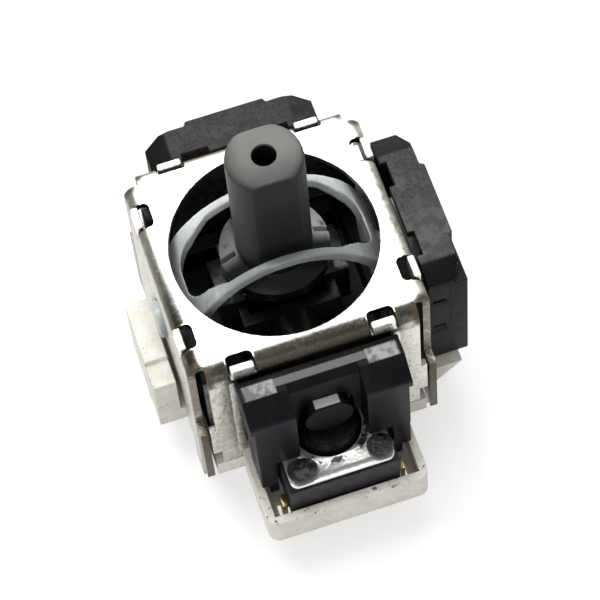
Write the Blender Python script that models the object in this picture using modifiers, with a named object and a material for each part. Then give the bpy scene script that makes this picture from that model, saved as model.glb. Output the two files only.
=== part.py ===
"""Two-axis analog stick module with a push switch, as used in game controllers.

Metres, +Z up. The origin is on the stick's axis, on the face that sits on the circuit board.
+X points to the right-hand sensor, +Y to the rear sensor and -Y to the push switch.
"""
import math

import bmesh
import bpy
from mathutils import Matrix, Vector

# Clearances between pieces
SEAT_GAP = 0.00025      # fixed piece resting on or beside another
RUN_GAP = 0.00020       # moving piece beside a fixed one
SLIM_GAP = 0.00015      # narrow places inside the sensors and the switch
OVER = 0.001            # how far a cutter runs past what it cuts
WELD = 0.0002           # how far joined shapes run into one another
HAIR = 0.00001          # keeps two faces of joined or cut shapes out of one plane

# Axes of motion
PIVOT_Z = 0.0068        # height of both tilt axes above the board

# Sheet-metal can
CAN_SIDE = 0.0130
CAN_TOP_Z = 0.0111
SHEET = 0.0004
BEND_RADIUS = 0.0006
OPENING_RADIUS = 0.0055
WALL_BOTTOM_Z = 0.00145
CORNER_RELIEF = 0.00085
RELIEF_BOTTOM_Z = 0.0052
CORNER_SLIT = 0.00012
FRONT_WINDOW_WIDTH = 0.0092
FRONT_WINDOW_TOP_Z = 0.0100
FRONT_NOTCH_WIDTH = 0.00045
FRONT_NOTCH_Z = 0.0027
LANCE_OFFSET = 0.00377
LANCE_WIDTH = 0.00145
LANCE_DEPTH = 0.0006
LANCE_BOTTOM_Z = 0.0104
TAB_WIDTH = 0.00128
TAB_RISE = 0.00005
CAN_LEG_WIDTH = 0.0012
CAN_LEG_OFFSET = 0.0045
PIN_BOTTOM_Z = -0.0023
SIDE_WALL_BOTTOM_Z = 0.00015

# Moulded base with its front tray
BASE_HEIGHT = 0.0012
BASE_FRONT_INSET = 0.00005
TRAY_WIDTH = 0.0089
TRAY_FRONT_Y = -0.01125
TRAY_WALL = 0.00045
TRAY_CORNER = 0.0006
TRAY_RIM_Z = 0.00215
TRAY_FLOOR_Z = 0.00065
LEDGE_WIDTH = 0.0052
LEDGE_OPENING_GAP = 0.00025
SIDE_BLOCK_OUT_X = 0.0080
SIDE_BLOCK_LENGTH = 0.0052
SIDE_BLOCK_TOP_Z = 0.00465
SIDE_BLOCK_STEP = 0.0003
SIDE_BLOCK_STEP_Y = -0.0011
WEDGE_REACH = 0.00165
WEDGE_BOTTOM_Z = 0.0001
WEDGE_FRONT = 0.0052
PEG_RADIUS = 0.0006
PEG_LENGTH = 0.0015
PEG_ROOT_Z = 0.0005
PEG_PLACE = 0.0045

# Push switch
SWITCH_SIDE = 0.0060
SWITCH_Y = -0.0076
SWITCH_BODY_HEIGHT = 0.0029
SWITCH_CAVITY_RADIUS = 0.0023
SWITCH_CAVITY_DEPTH = 0.0022
COVER_THICKNESS = 0.0002
COVER_WIDTH = 0.0057
COVER_LENGTH = 0.0059
COVER_CORNER = 0.0004
COVER_HOLE_RADIUS = 0.00185
STAKE_OFFSET = 0.00218
STAKE_RADIUS = 0.0003
STAKE_HEAD_RADIUS = 0.00066
STAKE_HEAD_HEIGHT = 0.0002
BUTTON_RADIUS = 0.00165
BUTTON_EDGE = 0.00015
BUTTON_NUB_RADIUS = 0.0007
BUTTON_NUB_GAP = 0.00005
BUTTON_FLANGE_RADIUS = 0.0021
BUTTON_FLANGE_HEIGHT = 0.0005
BUTTON_TRAVEL = 0.0003
DOME_RADIUS = 0.0019
DOME_RISE = 0.0004
DOME_SHEET = 0.00012
DOME_STEPS = 4
SWITCH_PIN_PITCH = 0.0045
SWITCH_PIN_WIDTH = 0.0007
SWITCH_PIN_SHEET = 0.00025
STUB_RISE = 0.0006         # height of a pin's stub above the switch's underside
STUB_LENGTH = 0.0004       # how far it runs into the switch

# Bracket over the push switch
BRACKET_HALF_WIDTH = 0.00415
CAP_HALF_WIDTH = 0.00435
BRACKET_BACK_Y = -0.00625
BRACKET_FRONT_Y = -0.00915
BRACKET_TOP_Z = 0.0102
BRIDGE_CREASE_Y = -0.0075
BRIDGE_FRONT_Y = -0.0079
BRIDGE_FRONT_Z = 0.0097
CAP_CREASE_Y = -0.0079
CAP_FRONT_Z = 0.0093
CAP_EDGE = 0.0005
TOWER_INNER_X = 0.0019
LEG_INNER_X = 0.0032
LEG_BACK_Y = -0.0072
LEG_INSET = 0.00005
TONGUE_INNER_X = 0.0032
TONGUE_OUTER_X = 0.0037
TONGUE_BOTTOM_Z = 0.0011

# Stick
STICK_TOP_Z = 0.01975
SHAFT_RADIUS = 0.0020
SHAFT_FLATS = 0.00324
FLATS_BOTTOM_Z = 0.0115
SHAFT_EDGE = 0.0004
SHAFT_EDGE_STEPS = 4
STICK_HOLE_RADIUS = 0.00065
STICK_HOLE_DEPTH = 0.0040
COLLAR_RADIUS = 0.0029
COLLAR_EDGE_Z = 0.0100
COLLAR_STEPS = 4
COLLAR_THICKNESS = 0.0007
COLLAR_UNDERSIDE_RADIUS = 0.00205
NECK_RADIUS = 0.00145
NECK_TOP_DROP = 0.0011     # below the collar's edge
LOWER_NECK_RADIUS = 0.0011
LOWER_NECK_DROP = 0.0006   # below the pivot
HUB_RADIUS = 0.00145
HUB_HALF_LENGTH = 0.00195
FOOT_BALL_RADIUS = 0.0026
FOOT_RADIUS = 0.0015
FOOT_TOP_DROP = 0.0018
FOOT_STEPS = 4
SLIT_WIDTH = 0.0003
SLIT_DEPTH = 0.0004
SLIT_INNER_GAP = 0.0001

# Upper arch
ARCH_SIDE_GAP = 0.0004
ARCH_WALL = 0.0006
ARCH_RISE = 0.0064         # from the pivot to the top of the bow
ARCH_HALF_WIDTH = 0.0025
ARCH_SLOT_GAP = 0.00044
ARCH_SLOT_WIDE_X = 0.0030
ARCH_SLOT_NECK_X = 0.0040
ARCH_SLOT_END_X = 0.00495
ARCH_SLOT_END_HALF = 0.0016
ARCH_STEPS = 28
JOURNAL_RADIUS = 0.0010
BLADE_THICKNESS = 0.0007
BLADE_WIDTH = 0.0018
BLADE_SHORT = 0.0001       # how far it ends inside the rotor's face

# Lower rocker
ROCKER_HALF_X = 0.00265
ROCKER_HALF_Y = 0.0026
ROCKER_BOTTOM_Z = 0.0058
ROCKER_TOP_Z = 0.0080
ROCKER_WALL_Y = 0.0006
CHEEK_OUTER_X = 0.0035
CHEEK_HALF_Y = 0.0014
CHEEK_RADIUS = 0.0023
CHEEK_DROP = 0.0002
ARM_RADIUS = 0.0013
ARM_FRONT_Y = -0.00845
ARM_REAR_Y = 0.0058
PUSHER_FLAT_Z = 0.0079
PUSHER_FLAT_BACK_Y = -0.0071
PIN_RADIUS = 0.0005
PIN_HALF_LENGTH = 0.00345
PRESS_AXIS_Y = 0.0063

# Spring and plunger under the stick
PLUNGER_RADIUS = 0.0023
PLUNGER_THICKNESS = 0.00055
PLUNGER_EDGE = 0.0001
PLUNGER_STEM_RADIUS = 0.00075
PLUNGER_STEM_LENGTH = 0.0019
SPRING_RADIUS = 0.0017
SPRING_WIRE_RADIUS = 0.00017
SPRING_TURNS = 3.5
SPRING_POINTS_A_TURN = 14

# Dark inner frame
FRAME_SIDE_GAP = 0.0003
FRAME_TOP_Z = 0.0039
FRAME_FLOOR = 0.0007
FRAME_WALL = 0.0010
GUIDE_WALL = 0.0005
POST_SIDE = 0.0013
POST_TOP_Z = 0.0088
FRAME_FRONT_NOTCH = 0.0078
FRAME_FRONT_Y = -0.0041

# Rotary sensors
POT_DEPTH = 0.00195
POT_PANEL_PROUD = 0.00025
POT_HALF_WIDTH = 0.00465
POT_BOTTOM_Z = 0.0020
POT_TOP_Z = 0.01045
POT_PANEL_HALF = 0.00215
POT_PANEL_SLOPE = 0.00015
POT_CORNER_WIDTH = 0.0009
POT_CORNER_DEPTH = 0.0005
POT_CAVITY_HALF = 0.0039
POT_FLOOR = 0.0006
POT_OUTER_WALL = 0.0004
POT_END_SLOPE_START = 0.0032
POT_END_DROP = 0.0005
POT_NOTCH_NEAR = 0.00145
POT_NOTCH_FAR = 0.00295
POT_NOTCH_DEPTH = 0.00035
POT_NOTCH_BOTTOM_Z = 0.00945
POT_SLOT_HEIGHT = 0.0002
POT_SLOT_LOW_Z = 0.0053
POT_SLOT_HIGH_Z = 0.0080
POT_SLOT_INSET = 0.00025
POT_SLOT_LENGTH = 0.0007
POT_SLOT_DEPTH = 0.0003
ELEMENT_SIDE_GAP = 0.0003
ELEMENT_SHEET = 0.00025
ELEMENT_HOLE_RADIUS = 0.0008
ROTOR_RADIUS = 0.0025
ROTOR_INSET = 0.0001
ROTOR_THICKNESS = 0.00045
WIPER_SHEET = 0.0001
WIPER_RADIUS = 0.0021
WIPER_HOLE_RADIUS = 0.0009
BRUSH_WIDTH = 0.0006
TERMINAL_PITCH = 0.0025
TERMINAL_WIDTH = 0.0007
TERMINAL_SHEET = 0.0002
TERMINAL_TOP_Z = 0.0044

# Values worked out from the sizes above
can_half = CAN_SIDE / 2
can_inner = can_half - SHEET
base_half = can_inner - RUN_GAP
switch_body_bottom_z = TRAY_FLOOR_Z + SEAT_GAP
switch_body_top_z = switch_body_bottom_z + SWITCH_BODY_HEIGHT
cover_bottom_z = switch_body_top_z + SEAT_GAP
cover_top_z = cover_bottom_z + COVER_THICKNESS
button_top_z = PIVOT_Z - ARM_RADIUS - SLIM_GAP
arch_outer_radius = can_inner - ARCH_SIDE_GAP
arch_inner_radius = arch_outer_radius - ARCH_WALL
arch_slot_half = SHAFT_FLATS / 2 + ARCH_SLOT_GAP
arch_top_z = PIVOT_Z + ARCH_RISE
cheek_top_z = PIVOT_Z + CHEEK_RADIUS
foot_bottom_z = PIVOT_Z - FOOT_BALL_RADIUS
plunger_top_z = foot_bottom_z - RUN_GAP
plunger_bottom_z = plunger_top_z - PLUNGER_THICKNESS
pot_back = can_half + SEAT_GAP
pot_shell = pot_back + POT_DEPTH
pot_front = pot_shell + POT_PANEL_PROUD
pot_cavity_out = pot_front - POT_OUTER_WALL
element_out = pot_cavity_out - RUN_GAP - TERMINAL_SHEET - SLIM_GAP
rotor_in = pot_back + ROTOR_INSET
blade_end = rotor_in + ROTOR_THICKNESS - BLADE_SHORT
frame_half = can_inner - FRAME_SIDE_GAP
wall_hole_radius = JOURNAL_RADIUS + RUN_GAP
ledge_half = LEDGE_WIDTH / 2
wedge_top_z = POT_BOTTOM_Z - SEAT_GAP

CIRCLE = 40
SMALL_CIRCLE = 24


def clear_scene():
    for old in list(bpy.data.objects):
        bpy.data.objects.remove(old, do_unlink=True)


def make_collection(name):
    made = bpy.data.collections.new(name)
    bpy.context.scene.collection.children.link(made)
    return made


def make_material(name, color, roughness, metallic=0.0):
    material = bpy.data.materials.new(name)
    material.use_nodes = True
    shader = material.node_tree.nodes["Principled BSDF"]
    shader.inputs["Base Color"].default_value = (*color, 1.0)
    shader.inputs["Roughness"].default_value = roughness
    shader.inputs["Metallic"].default_value = metallic
    return material


clear_scene()
parts = make_collection("analog_stick_module")
cutters = make_collection("cutters")


def add_part(name, mesh, material, smooth=False):
    """A sub-part's object in the parts collection, with its material."""
    part = bpy.data.objects.new(name, mesh)
    parts.objects.link(part)
    mesh.materials.clear()
    mesh.materials.append(material)
    if smooth:
        mesh.shade_smooth()
        mesh.set_sharp_from_angle(angle=math.radians(35))
    return part


def add_tool(name, mesh):
    """An object that only cuts or is joined to a sub-part."""
    tool = bpy.data.objects.new(name, mesh)
    cutters.objects.link(tool)
    tool.hide_render = True
    tool.display_type = "WIRE"
    return tool


def boxes(name, *corners):
    """A mesh of one or more boxes, each given by its low and high corner."""
    shape = bmesh.new()
    for low, high in corners:
        low, high = Vector(low), Vector(high)
        place = Matrix.Translation((low + high) / 2) @ Matrix.Diagonal((*(high - low), 1.0))
        bmesh.ops.create_cube(shape, size=1.0, matrix=place)
    return to_mesh(shape, name)


def to_mesh(shape, name):
    mesh = bpy.data.meshes.new(name)
    shape.to_mesh(mesh)
    shape.free()
    return mesh


AXIS_TURN = {
    "X": Matrix.Rotation(math.radians(90), 4, "Y"),
    "Y": Matrix.Rotation(math.radians(-90), 4, "X"),
    "Z": Matrix.Identity(4),
}


def rods(name, *places, sides=CIRCLE):
    """A mesh of round rods. Each place is (axis, centre across it, start, end, radius)."""
    shape = bmesh.new()
    for axis, centre, start, end, radius in places:
        middle = (start + end) / 2
        if axis == "X":
            point = (middle, centre[0], centre[1])
        elif axis == "Y":
            point = (centre[0], middle, centre[1])
        else:
            point = (centre[0], centre[1], middle)
        bmesh.ops.create_cone(shape, cap_ends=True, segments=sides, radius1=radius, radius2=radius,
                              depth=abs(end - start), matrix=Matrix.Translation(point) @ AXIS_TURN[axis])
    return to_mesh(shape, name)


def arc(centre, radius, start_deg, end_deg, steps):
    """Points along a circular arc in a flat outline."""
    points = []
    for step in range(steps + 1):
        angle = math.radians(start_deg + (end_deg - start_deg) * step / steps)
        points.append((centre[0] + radius * math.cos(angle), centre[1] + radius * math.sin(angle)))
    return points


# How a flat outline's own X, Y and normal lie in the model
PLANE_TURN = {
    "XY": Matrix.Identity(4),
    "XZ": Matrix.Rotation(math.radians(90), 4, "X"),
    "YZ": Matrix(((0, 0, 1, 0), (1, 0, 0, 0), (0, 1, 0, 0), (0, 0, 0, 1))),
}


def plate(name, outlines, plane, low, high):
    """A flat plate: closed outlines in a plane, the inner ones being holes, between two levels."""
    curve = bpy.data.curves.new(name, "CURVE")
    curve.dimensions = "2D"
    curve.fill_mode = "BOTH"
    curve.extrude = (high - low) / 2
    for outline in outlines:
        spline = curve.splines.new("POLY")
        spline.points.add(len(outline) - 1)
        for point, (across, along) in zip(spline.points, outline):
            point.co = (across, along, 0.0, 1.0)
        spline.use_cyclic_u = True
    source = bpy.data.objects.new(name, curve)
    bpy.context.scene.collection.objects.link(source)
    # The XZ turn points an outline's normal to -Y, so its level is measured that way round
    level = (low + high) / 2 * (-1.0 if plane == "XZ" else 1.0)
    source.matrix_world = PLANE_TURN[plane] @ Matrix.Translation((0.0, 0.0, level))
    bpy.context.view_layer.update()
    depsgraph = bpy.context.evaluated_depsgraph_get()
    mesh = bpy.data.meshes.new_from_object(source.evaluated_get(depsgraph))
    mesh.transform(source.matrix_world)
    bpy.data.objects.remove(source)
    shape = bmesh.new()
    shape.from_mesh(mesh)
    bmesh.ops.remove_doubles(shape, verts=shape.verts, dist=1e-7)
    bmesh.ops.recalc_face_normals(shape, faces=shape.faces)
    shape.to_mesh(mesh)
    shape.free()
    return mesh


def turned_profile(name, profile):
    """An open profile of (radius, height) points, from the top down, for a Screw modifier."""
    shape = bmesh.new()
    points = [shape.verts.new((radius, 0.0, height)) for radius, height in profile]
    for upper, lower in zip(points, points[1:]):
        shape.edges.new((upper, lower))
    return to_mesh(shape, name)


def add_screw(part, steps=CIRCLE):
    turn = part.modifiers.new("turn", "SCREW")
    turn.axis = "Z"
    turn.steps = steps
    turn.render_steps = steps
    turn.use_merge_vertices = True
    turn.merge_threshold = 0.000001
    turn.use_smooth_shade = True
    return part


def combine(part, tool, operation):
    change = part.modifiers.new(tool.name, "BOOLEAN")
    change.operation = operation
    change.solver = "EXACT"
    change.object = tool
    return part


def cut(part, name, mesh):
    return combine(part, add_tool(part.name + "_" + name, mesh), "DIFFERENCE")


def join(part, name, mesh):
    return combine(part, add_tool(part.name + "_" + name, mesh), "UNION")


def keep_within(part, name, mesh):
    return combine(part, add_tool(part.name + "_" + name, mesh), "INTERSECT")


def set_origin(part, point):
    """Put an object's origin on its joint's axis without moving its shape."""
    shift = Vector(point)
    part.data.transform(Matrix.Translation(-shift))
    part.location = shift


def stadium(half_length, half_width, steps=10):
    """A slot's outline with round ends, along the first axis."""
    reach = half_length - half_width
    right = arc((reach, 0.0), half_width, -90, 90, steps)
    left = arc((-reach, 0.0), half_width, 90, 270, steps)
    return right + left


def rounded_rectangle(half_x, half_y, radius, centre=(0.0, 0.0), steps=5):
    points = []
    corners = ((1, 1, 0), (-1, 1, 90), (-1, -1, 180), (1, -1, 270))
    for side_x, side_y, start in corners:
        middle = (centre[0] + side_x * (half_x - radius), centre[1] + side_y * (half_y - radius))
        points += arc(middle, radius, start, start + 90, steps)
    return points


def ring(radius, centre=(0.0, 0.0), steps=SMALL_CIRCLE):
    return arc(centre, radius, 0, 360 - 360 / steps, steps - 1)


# Materials, one for each finish
tin_plate = make_material("tin_plate", (0.78, 0.77, 0.73), 0.32, 1.0)
cream_plastic = make_material("cream_plastic", (0.80, 0.78, 0.72), 0.45)
charcoal_plastic = make_material("charcoal_plastic", (0.075, 0.078, 0.080), 0.55)
dark_plastic = make_material("dark_plastic", (0.035, 0.035, 0.042), 0.35)
stick_plastic = make_material("stick_plastic", (0.16, 0.16, 0.155), 0.48)
milky_plastic = make_material("milky_plastic", (0.62, 0.65, 0.66), 0.35)
steel = make_material("steel", (0.62, 0.62, 0.62), 0.25, 1.0)
brass = make_material("brass", (0.62, 0.50, 0.26), 0.35, 1.0)
resin_board = make_material("resin_board", (0.20, 0.12, 0.06), 0.6)


def make_can():
    """Folded can: a top with a round opening, four walls, lanced tabs, and solder legs."""
    shape = bmesh.new()
    height = CAN_TOP_Z - PIN_BOTTOM_Z
    middle = (CAN_TOP_Z + PIN_BOTTOM_Z) / 2
    place = Matrix.Translation((0, 0, middle)) @ Matrix.Diagonal((CAN_SIDE, CAN_SIDE, height, 1.0))
    bmesh.ops.create_cube(shape, size=1.0, matrix=place)
    shape.faces.ensure_lookup_table()
    floor = [face for face in shape.faces if face.normal.z < -0.5]
    bmesh.ops.delete(shape, geom=floor, context="FACES_ONLY")
    rim = [edge for edge in shape.edges if all(vert.co.z > middle for vert in edge.verts)]
    bmesh.ops.bevel(shape, geom=rim, offset=BEND_RADIUS, segments=4, profile=0.5, affect="EDGES")
    can = add_part("shield_can", to_mesh(shape, "shield_can"), tin_plate)
    wall = can.modifiers.new("sheet", "SOLIDIFY")
    wall.thickness = SHEET
    wall.offset = -1.0
    wall.use_even_offset = True

    cut(can, "opening", rods("opening", ("Z", (0, 0), CAN_TOP_Z - 2 * SHEET, CAN_TOP_Z + OVER,
                                         OPENING_RADIUS), sides=72))
    relief_in = can_half - CORNER_RELIEF
    reach = can_half + OVER
    corner_cuts = []
    for side_x in (-1, 1):
        for side_y in (-1, 1):
            low = (min(side_x * relief_in, side_x * reach), min(side_y * relief_in, side_y * reach))
            high = (max(side_x * relief_in, side_x * reach), max(side_y * relief_in, side_y * reach))
            corner_cuts.append(((*low, RELIEF_BOTTOM_Z), (*high, CAN_TOP_Z + OVER)))
    cut(can, "corner_reliefs", boxes("corner_reliefs", *corner_cuts))

    slit_in = can_inner - CORNER_SLIT
    slits = []
    for side_x in (-1, 1):
        for low_y, high_y in ((-reach, -can_inner), (can_inner, reach)):
            edges = sorted((side_x * slit_in, side_x * can_inner))
            slits.append(((edges[0], low_y - HAIR, PIN_BOTTOM_Z - OVER),
                          (edges[1], high_y + HAIR, RELIEF_BOTTOM_Z + SHEET)))
    cut(can, "corner_slits", boxes("corner_slits", *slits))

    # The lanced tabs stand straight up where the bend is cut away
    holes, tabs = [], []
    near = can_inner - LANCE_DEPTH
    far = can_half + OVER
    for side in (-1, 1):
        for place in (-LANCE_OFFSET, LANCE_OFFSET):
            hole_low, hole_high = place - LANCE_WIDTH / 2, place + LANCE_WIDTH / 2
            tab_low, tab_high = place - TAB_WIDTH / 2, place + TAB_WIDTH / 2
            radial = sorted((side * near, side * far))
            sheet = sorted((side * can_inner, side * can_half))
            holes.append(((radial[0], hole_low, LANCE_BOTTOM_Z), (radial[1], hole_high, CAN_TOP_Z + OVER)))
            holes.append(((hole_low, radial[0], LANCE_BOTTOM_Z), (hole_high, radial[1], CAN_TOP_Z + OVER)))
            tab_base = LANCE_BOTTOM_Z - SHEET / 2
            tab_end = CAN_TOP_Z + TAB_RISE
            tabs.append(((sheet[0], tab_low, tab_base), (sheet[1], tab_high, tab_end)))
            tabs.append(((tab_low, sheet[0], tab_base), (tab_high, sheet[1], tab_end)))
    cut(can, "lances", boxes("lances", *holes))
    join(can, "tabs", boxes("tabs", *tabs))

    # Below the bend: the front window, the wall ends and the legs
    window = FRONT_WINDOW_WIDTH / 2
    notch_x = slit_in - FRONT_NOTCH_WIDTH
    below = PIN_BOTTOM_Z - OVER
    wall_back = can_inner - HAIR
    cut(can, "front_window", boxes("front_window", ((-window, -reach, below),
                                                    (window, -wall_back, FRONT_WINDOW_TOP_Z))))
    cut(can, "front_ends", boxes("front_ends", ((-slit_in, -reach, below),
                                                (slit_in, -wall_back, WALL_BOTTOM_Z))))
    cut(can, "front_notches", boxes(
        "front_notches",
        ((-slit_in - HAIR, -reach, 0.0), (-notch_x, -wall_back, FRONT_NOTCH_Z)),
        ((notch_x, -reach, 0.0), (slit_in + HAIR, -wall_back, FRONT_NOTCH_Z))))
    cut(can, "rear_end", boxes("rear_end", ((-slit_in, wall_back, below), (slit_in, reach, WALL_BOTTOM_Z))))

    leg_low, leg_high = CAN_LEG_OFFSET - CAN_LEG_WIDTH / 2, CAN_LEG_OFFSET + CAN_LEG_WIDTH / 2
    leg_gaps = []
    for low_x, high_x in ((-reach, -wall_back), (wall_back, reach)):
        for low_y, high_y in ((-reach, -leg_high), (-leg_low, leg_low), (leg_high, reach)):
            leg_gaps.append(((low_x, low_y, below), (high_x, high_y, SIDE_WALL_BOTTOM_Z)))
    cut(can, "leg_gaps", boxes("leg_gaps", *leg_gaps))

    # Doorways for the base's ledges, and round holes for the journals
    door = ledge_half + LEDGE_OPENING_GAP
    cut(can, "side_doors", boxes(
        "side_doors",
        ((-reach, -door, below), (-wall_back, door, WALL_BOTTOM_Z)),
        ((wall_back, -door, below), (reach, door, wedge_top_z + LEDGE_OPENING_GAP))))
    journal_holes = [("X", (0, PIVOT_Z), -reach, -can_inner + OVER, wall_hole_radius),
                     ("X", (0, PIVOT_Z), can_inner - OVER, reach, wall_hole_radius),
                     ("Y", (0, PIVOT_Z), can_inner - OVER, reach, wall_hole_radius)]
    cut(can, "journal_holes", rods("journal_holes", *journal_holes, sides=SMALL_CIRCLE))
    return can


def make_base():
    """Cream moulding: floor, front tray for the switch, side block, and ledges under the sensors."""
    tray_half = TRAY_WIDTH / 2
    floor = boxes("base_tray", ((-base_half, -can_half + BASE_FRONT_INSET, 0.0),
                                (base_half, base_half, BASE_HEIGHT)))
    base = add_part("base_tray", floor, cream_plastic)
    tray_half_y = (-can_inner - TRAY_FRONT_Y) / 2
    tray_centre = (0.0, TRAY_FRONT_Y + tray_half_y)
    tray = rounded_rectangle(tray_half, tray_half_y, TRAY_CORNER, tray_centre)
    join(base, "tray", plate("tray", [tray], "XY", 0.0, TRAY_RIM_Z))
    pocket_half = tray_half - TRAY_WALL
    pocket_front = TRAY_FRONT_Y + TRAY_WALL
    pocket_back = SWITCH_Y + SWITCH_SIDE / 2 + SEAT_GAP
    cut(base, "pocket", boxes("pocket", ((-pocket_half, pocket_front, TRAY_FLOOR_Z),
                                         (pocket_half, pocket_back, TRAY_RIM_Z + OVER))))

    # Left side block, joined to the floor under the can's wall
    block_in = can_half + SEAT_GAP
    block_half = SIDE_BLOCK_LENGTH / 2
    join(base, "left_ledge", boxes("left_ledge", ((-block_in - WELD, -ledge_half, 0.0),
                                                  (-base_half + WELD, ledge_half, BASE_HEIGHT))))
    join(base, "left_block", boxes("left_block", ((-SIDE_BLOCK_OUT_X, -block_half, 0.0),
                                                  (-block_in, block_half, SIDE_BLOCK_TOP_Z))))
    cut(base, "left_step", boxes("left_step", ((-SIDE_BLOCK_OUT_X - OVER, -block_half - OVER,
                                                SIDE_BLOCK_TOP_Z - SIDE_BLOCK_STEP),
                                               (-block_in + SEAT_GAP / 2, SIDE_BLOCK_STEP_Y,
                                                SIDE_BLOCK_TOP_Z + OVER))))

    # Ledge and wedge under each rotary sensor: a three-sided bar with a sloping underside
    for name, turn in (("right", 0.0), ("rear", 90.0)):
        turned = Matrix.Rotation(math.radians(turn), 4, "Z")
        ledge = boxes(name, ((base_half - WELD, -ledge_half, 0.0), (block_in + WELD, ledge_half, BASE_HEIGHT)))
        ledge.transform(turned)
        join(base, name + "_ledge", ledge)
        wedge_outline = [(block_in, WEDGE_BOTTOM_Z), (block_in + WEDGE_REACH, wedge_top_z),
                         (block_in, wedge_top_z)]
        wedge = plate(name, [wedge_outline], "XZ", -WEDGE_FRONT, ledge_half)
        wedge.transform(turned)
        join(base, name + "_wedge", wedge)
        strip_x = element_out + SLIM_GAP
        slots = []
        for number in (-1, 0, 1):
            centre = number * TERMINAL_PITCH
            half = TERMINAL_WIDTH / 2 + RUN_GAP
            slots.append(((strip_x - RUN_GAP, centre - half, -OVER),
                          (strip_x + OVER, centre + half, POT_BOTTOM_Z)))
        notches = boxes(name, *slots)
        notches.transform(turned)
        cut(base, name + "_slots", notches)

    # Slots for the switch's pins, and two locating pegs
    pin_slots = []
    for side, along in switch_pin_places():
        low, high = pin_box(side, along, -OVER, TRAY_FLOOR_Z + OVER, RUN_GAP)
        pin_slots.append((low, high))
    cut(base, "pin_slots", boxes("pin_slots", *pin_slots))
    peg_x = -(block_in + SIDE_BLOCK_OUT_X) / 2
    join(base, "pegs", rods("pegs", ("Z", (peg_x, 0.0), -PEG_LENGTH, PEG_ROOT_Z, PEG_RADIUS),
                            ("Z", (PEG_PLACE, PEG_PLACE), -PEG_LENGTH, PEG_ROOT_Z,
                             PEG_RADIUS), sides=SMALL_CIRCLE))
    return base


def switch_pin_places():
    """The side and the place along Y of each of the switch's four pins."""
    return [(side, SWITCH_Y + along * SWITCH_PIN_PITCH / 2) for side in (-1, 1) for along in (-1, 1)]


def pin_box(side, along, bottom, top, gap=0.0):
    inner = SWITCH_SIDE / 2 + SLIM_GAP
    xs = sorted((side * (inner - gap), side * (inner + SWITCH_PIN_SHEET + gap)))
    half = SWITCH_PIN_WIDTH / 2 + gap
    return (xs[0], along - half, bottom), (xs[1], along + half, top)


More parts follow.
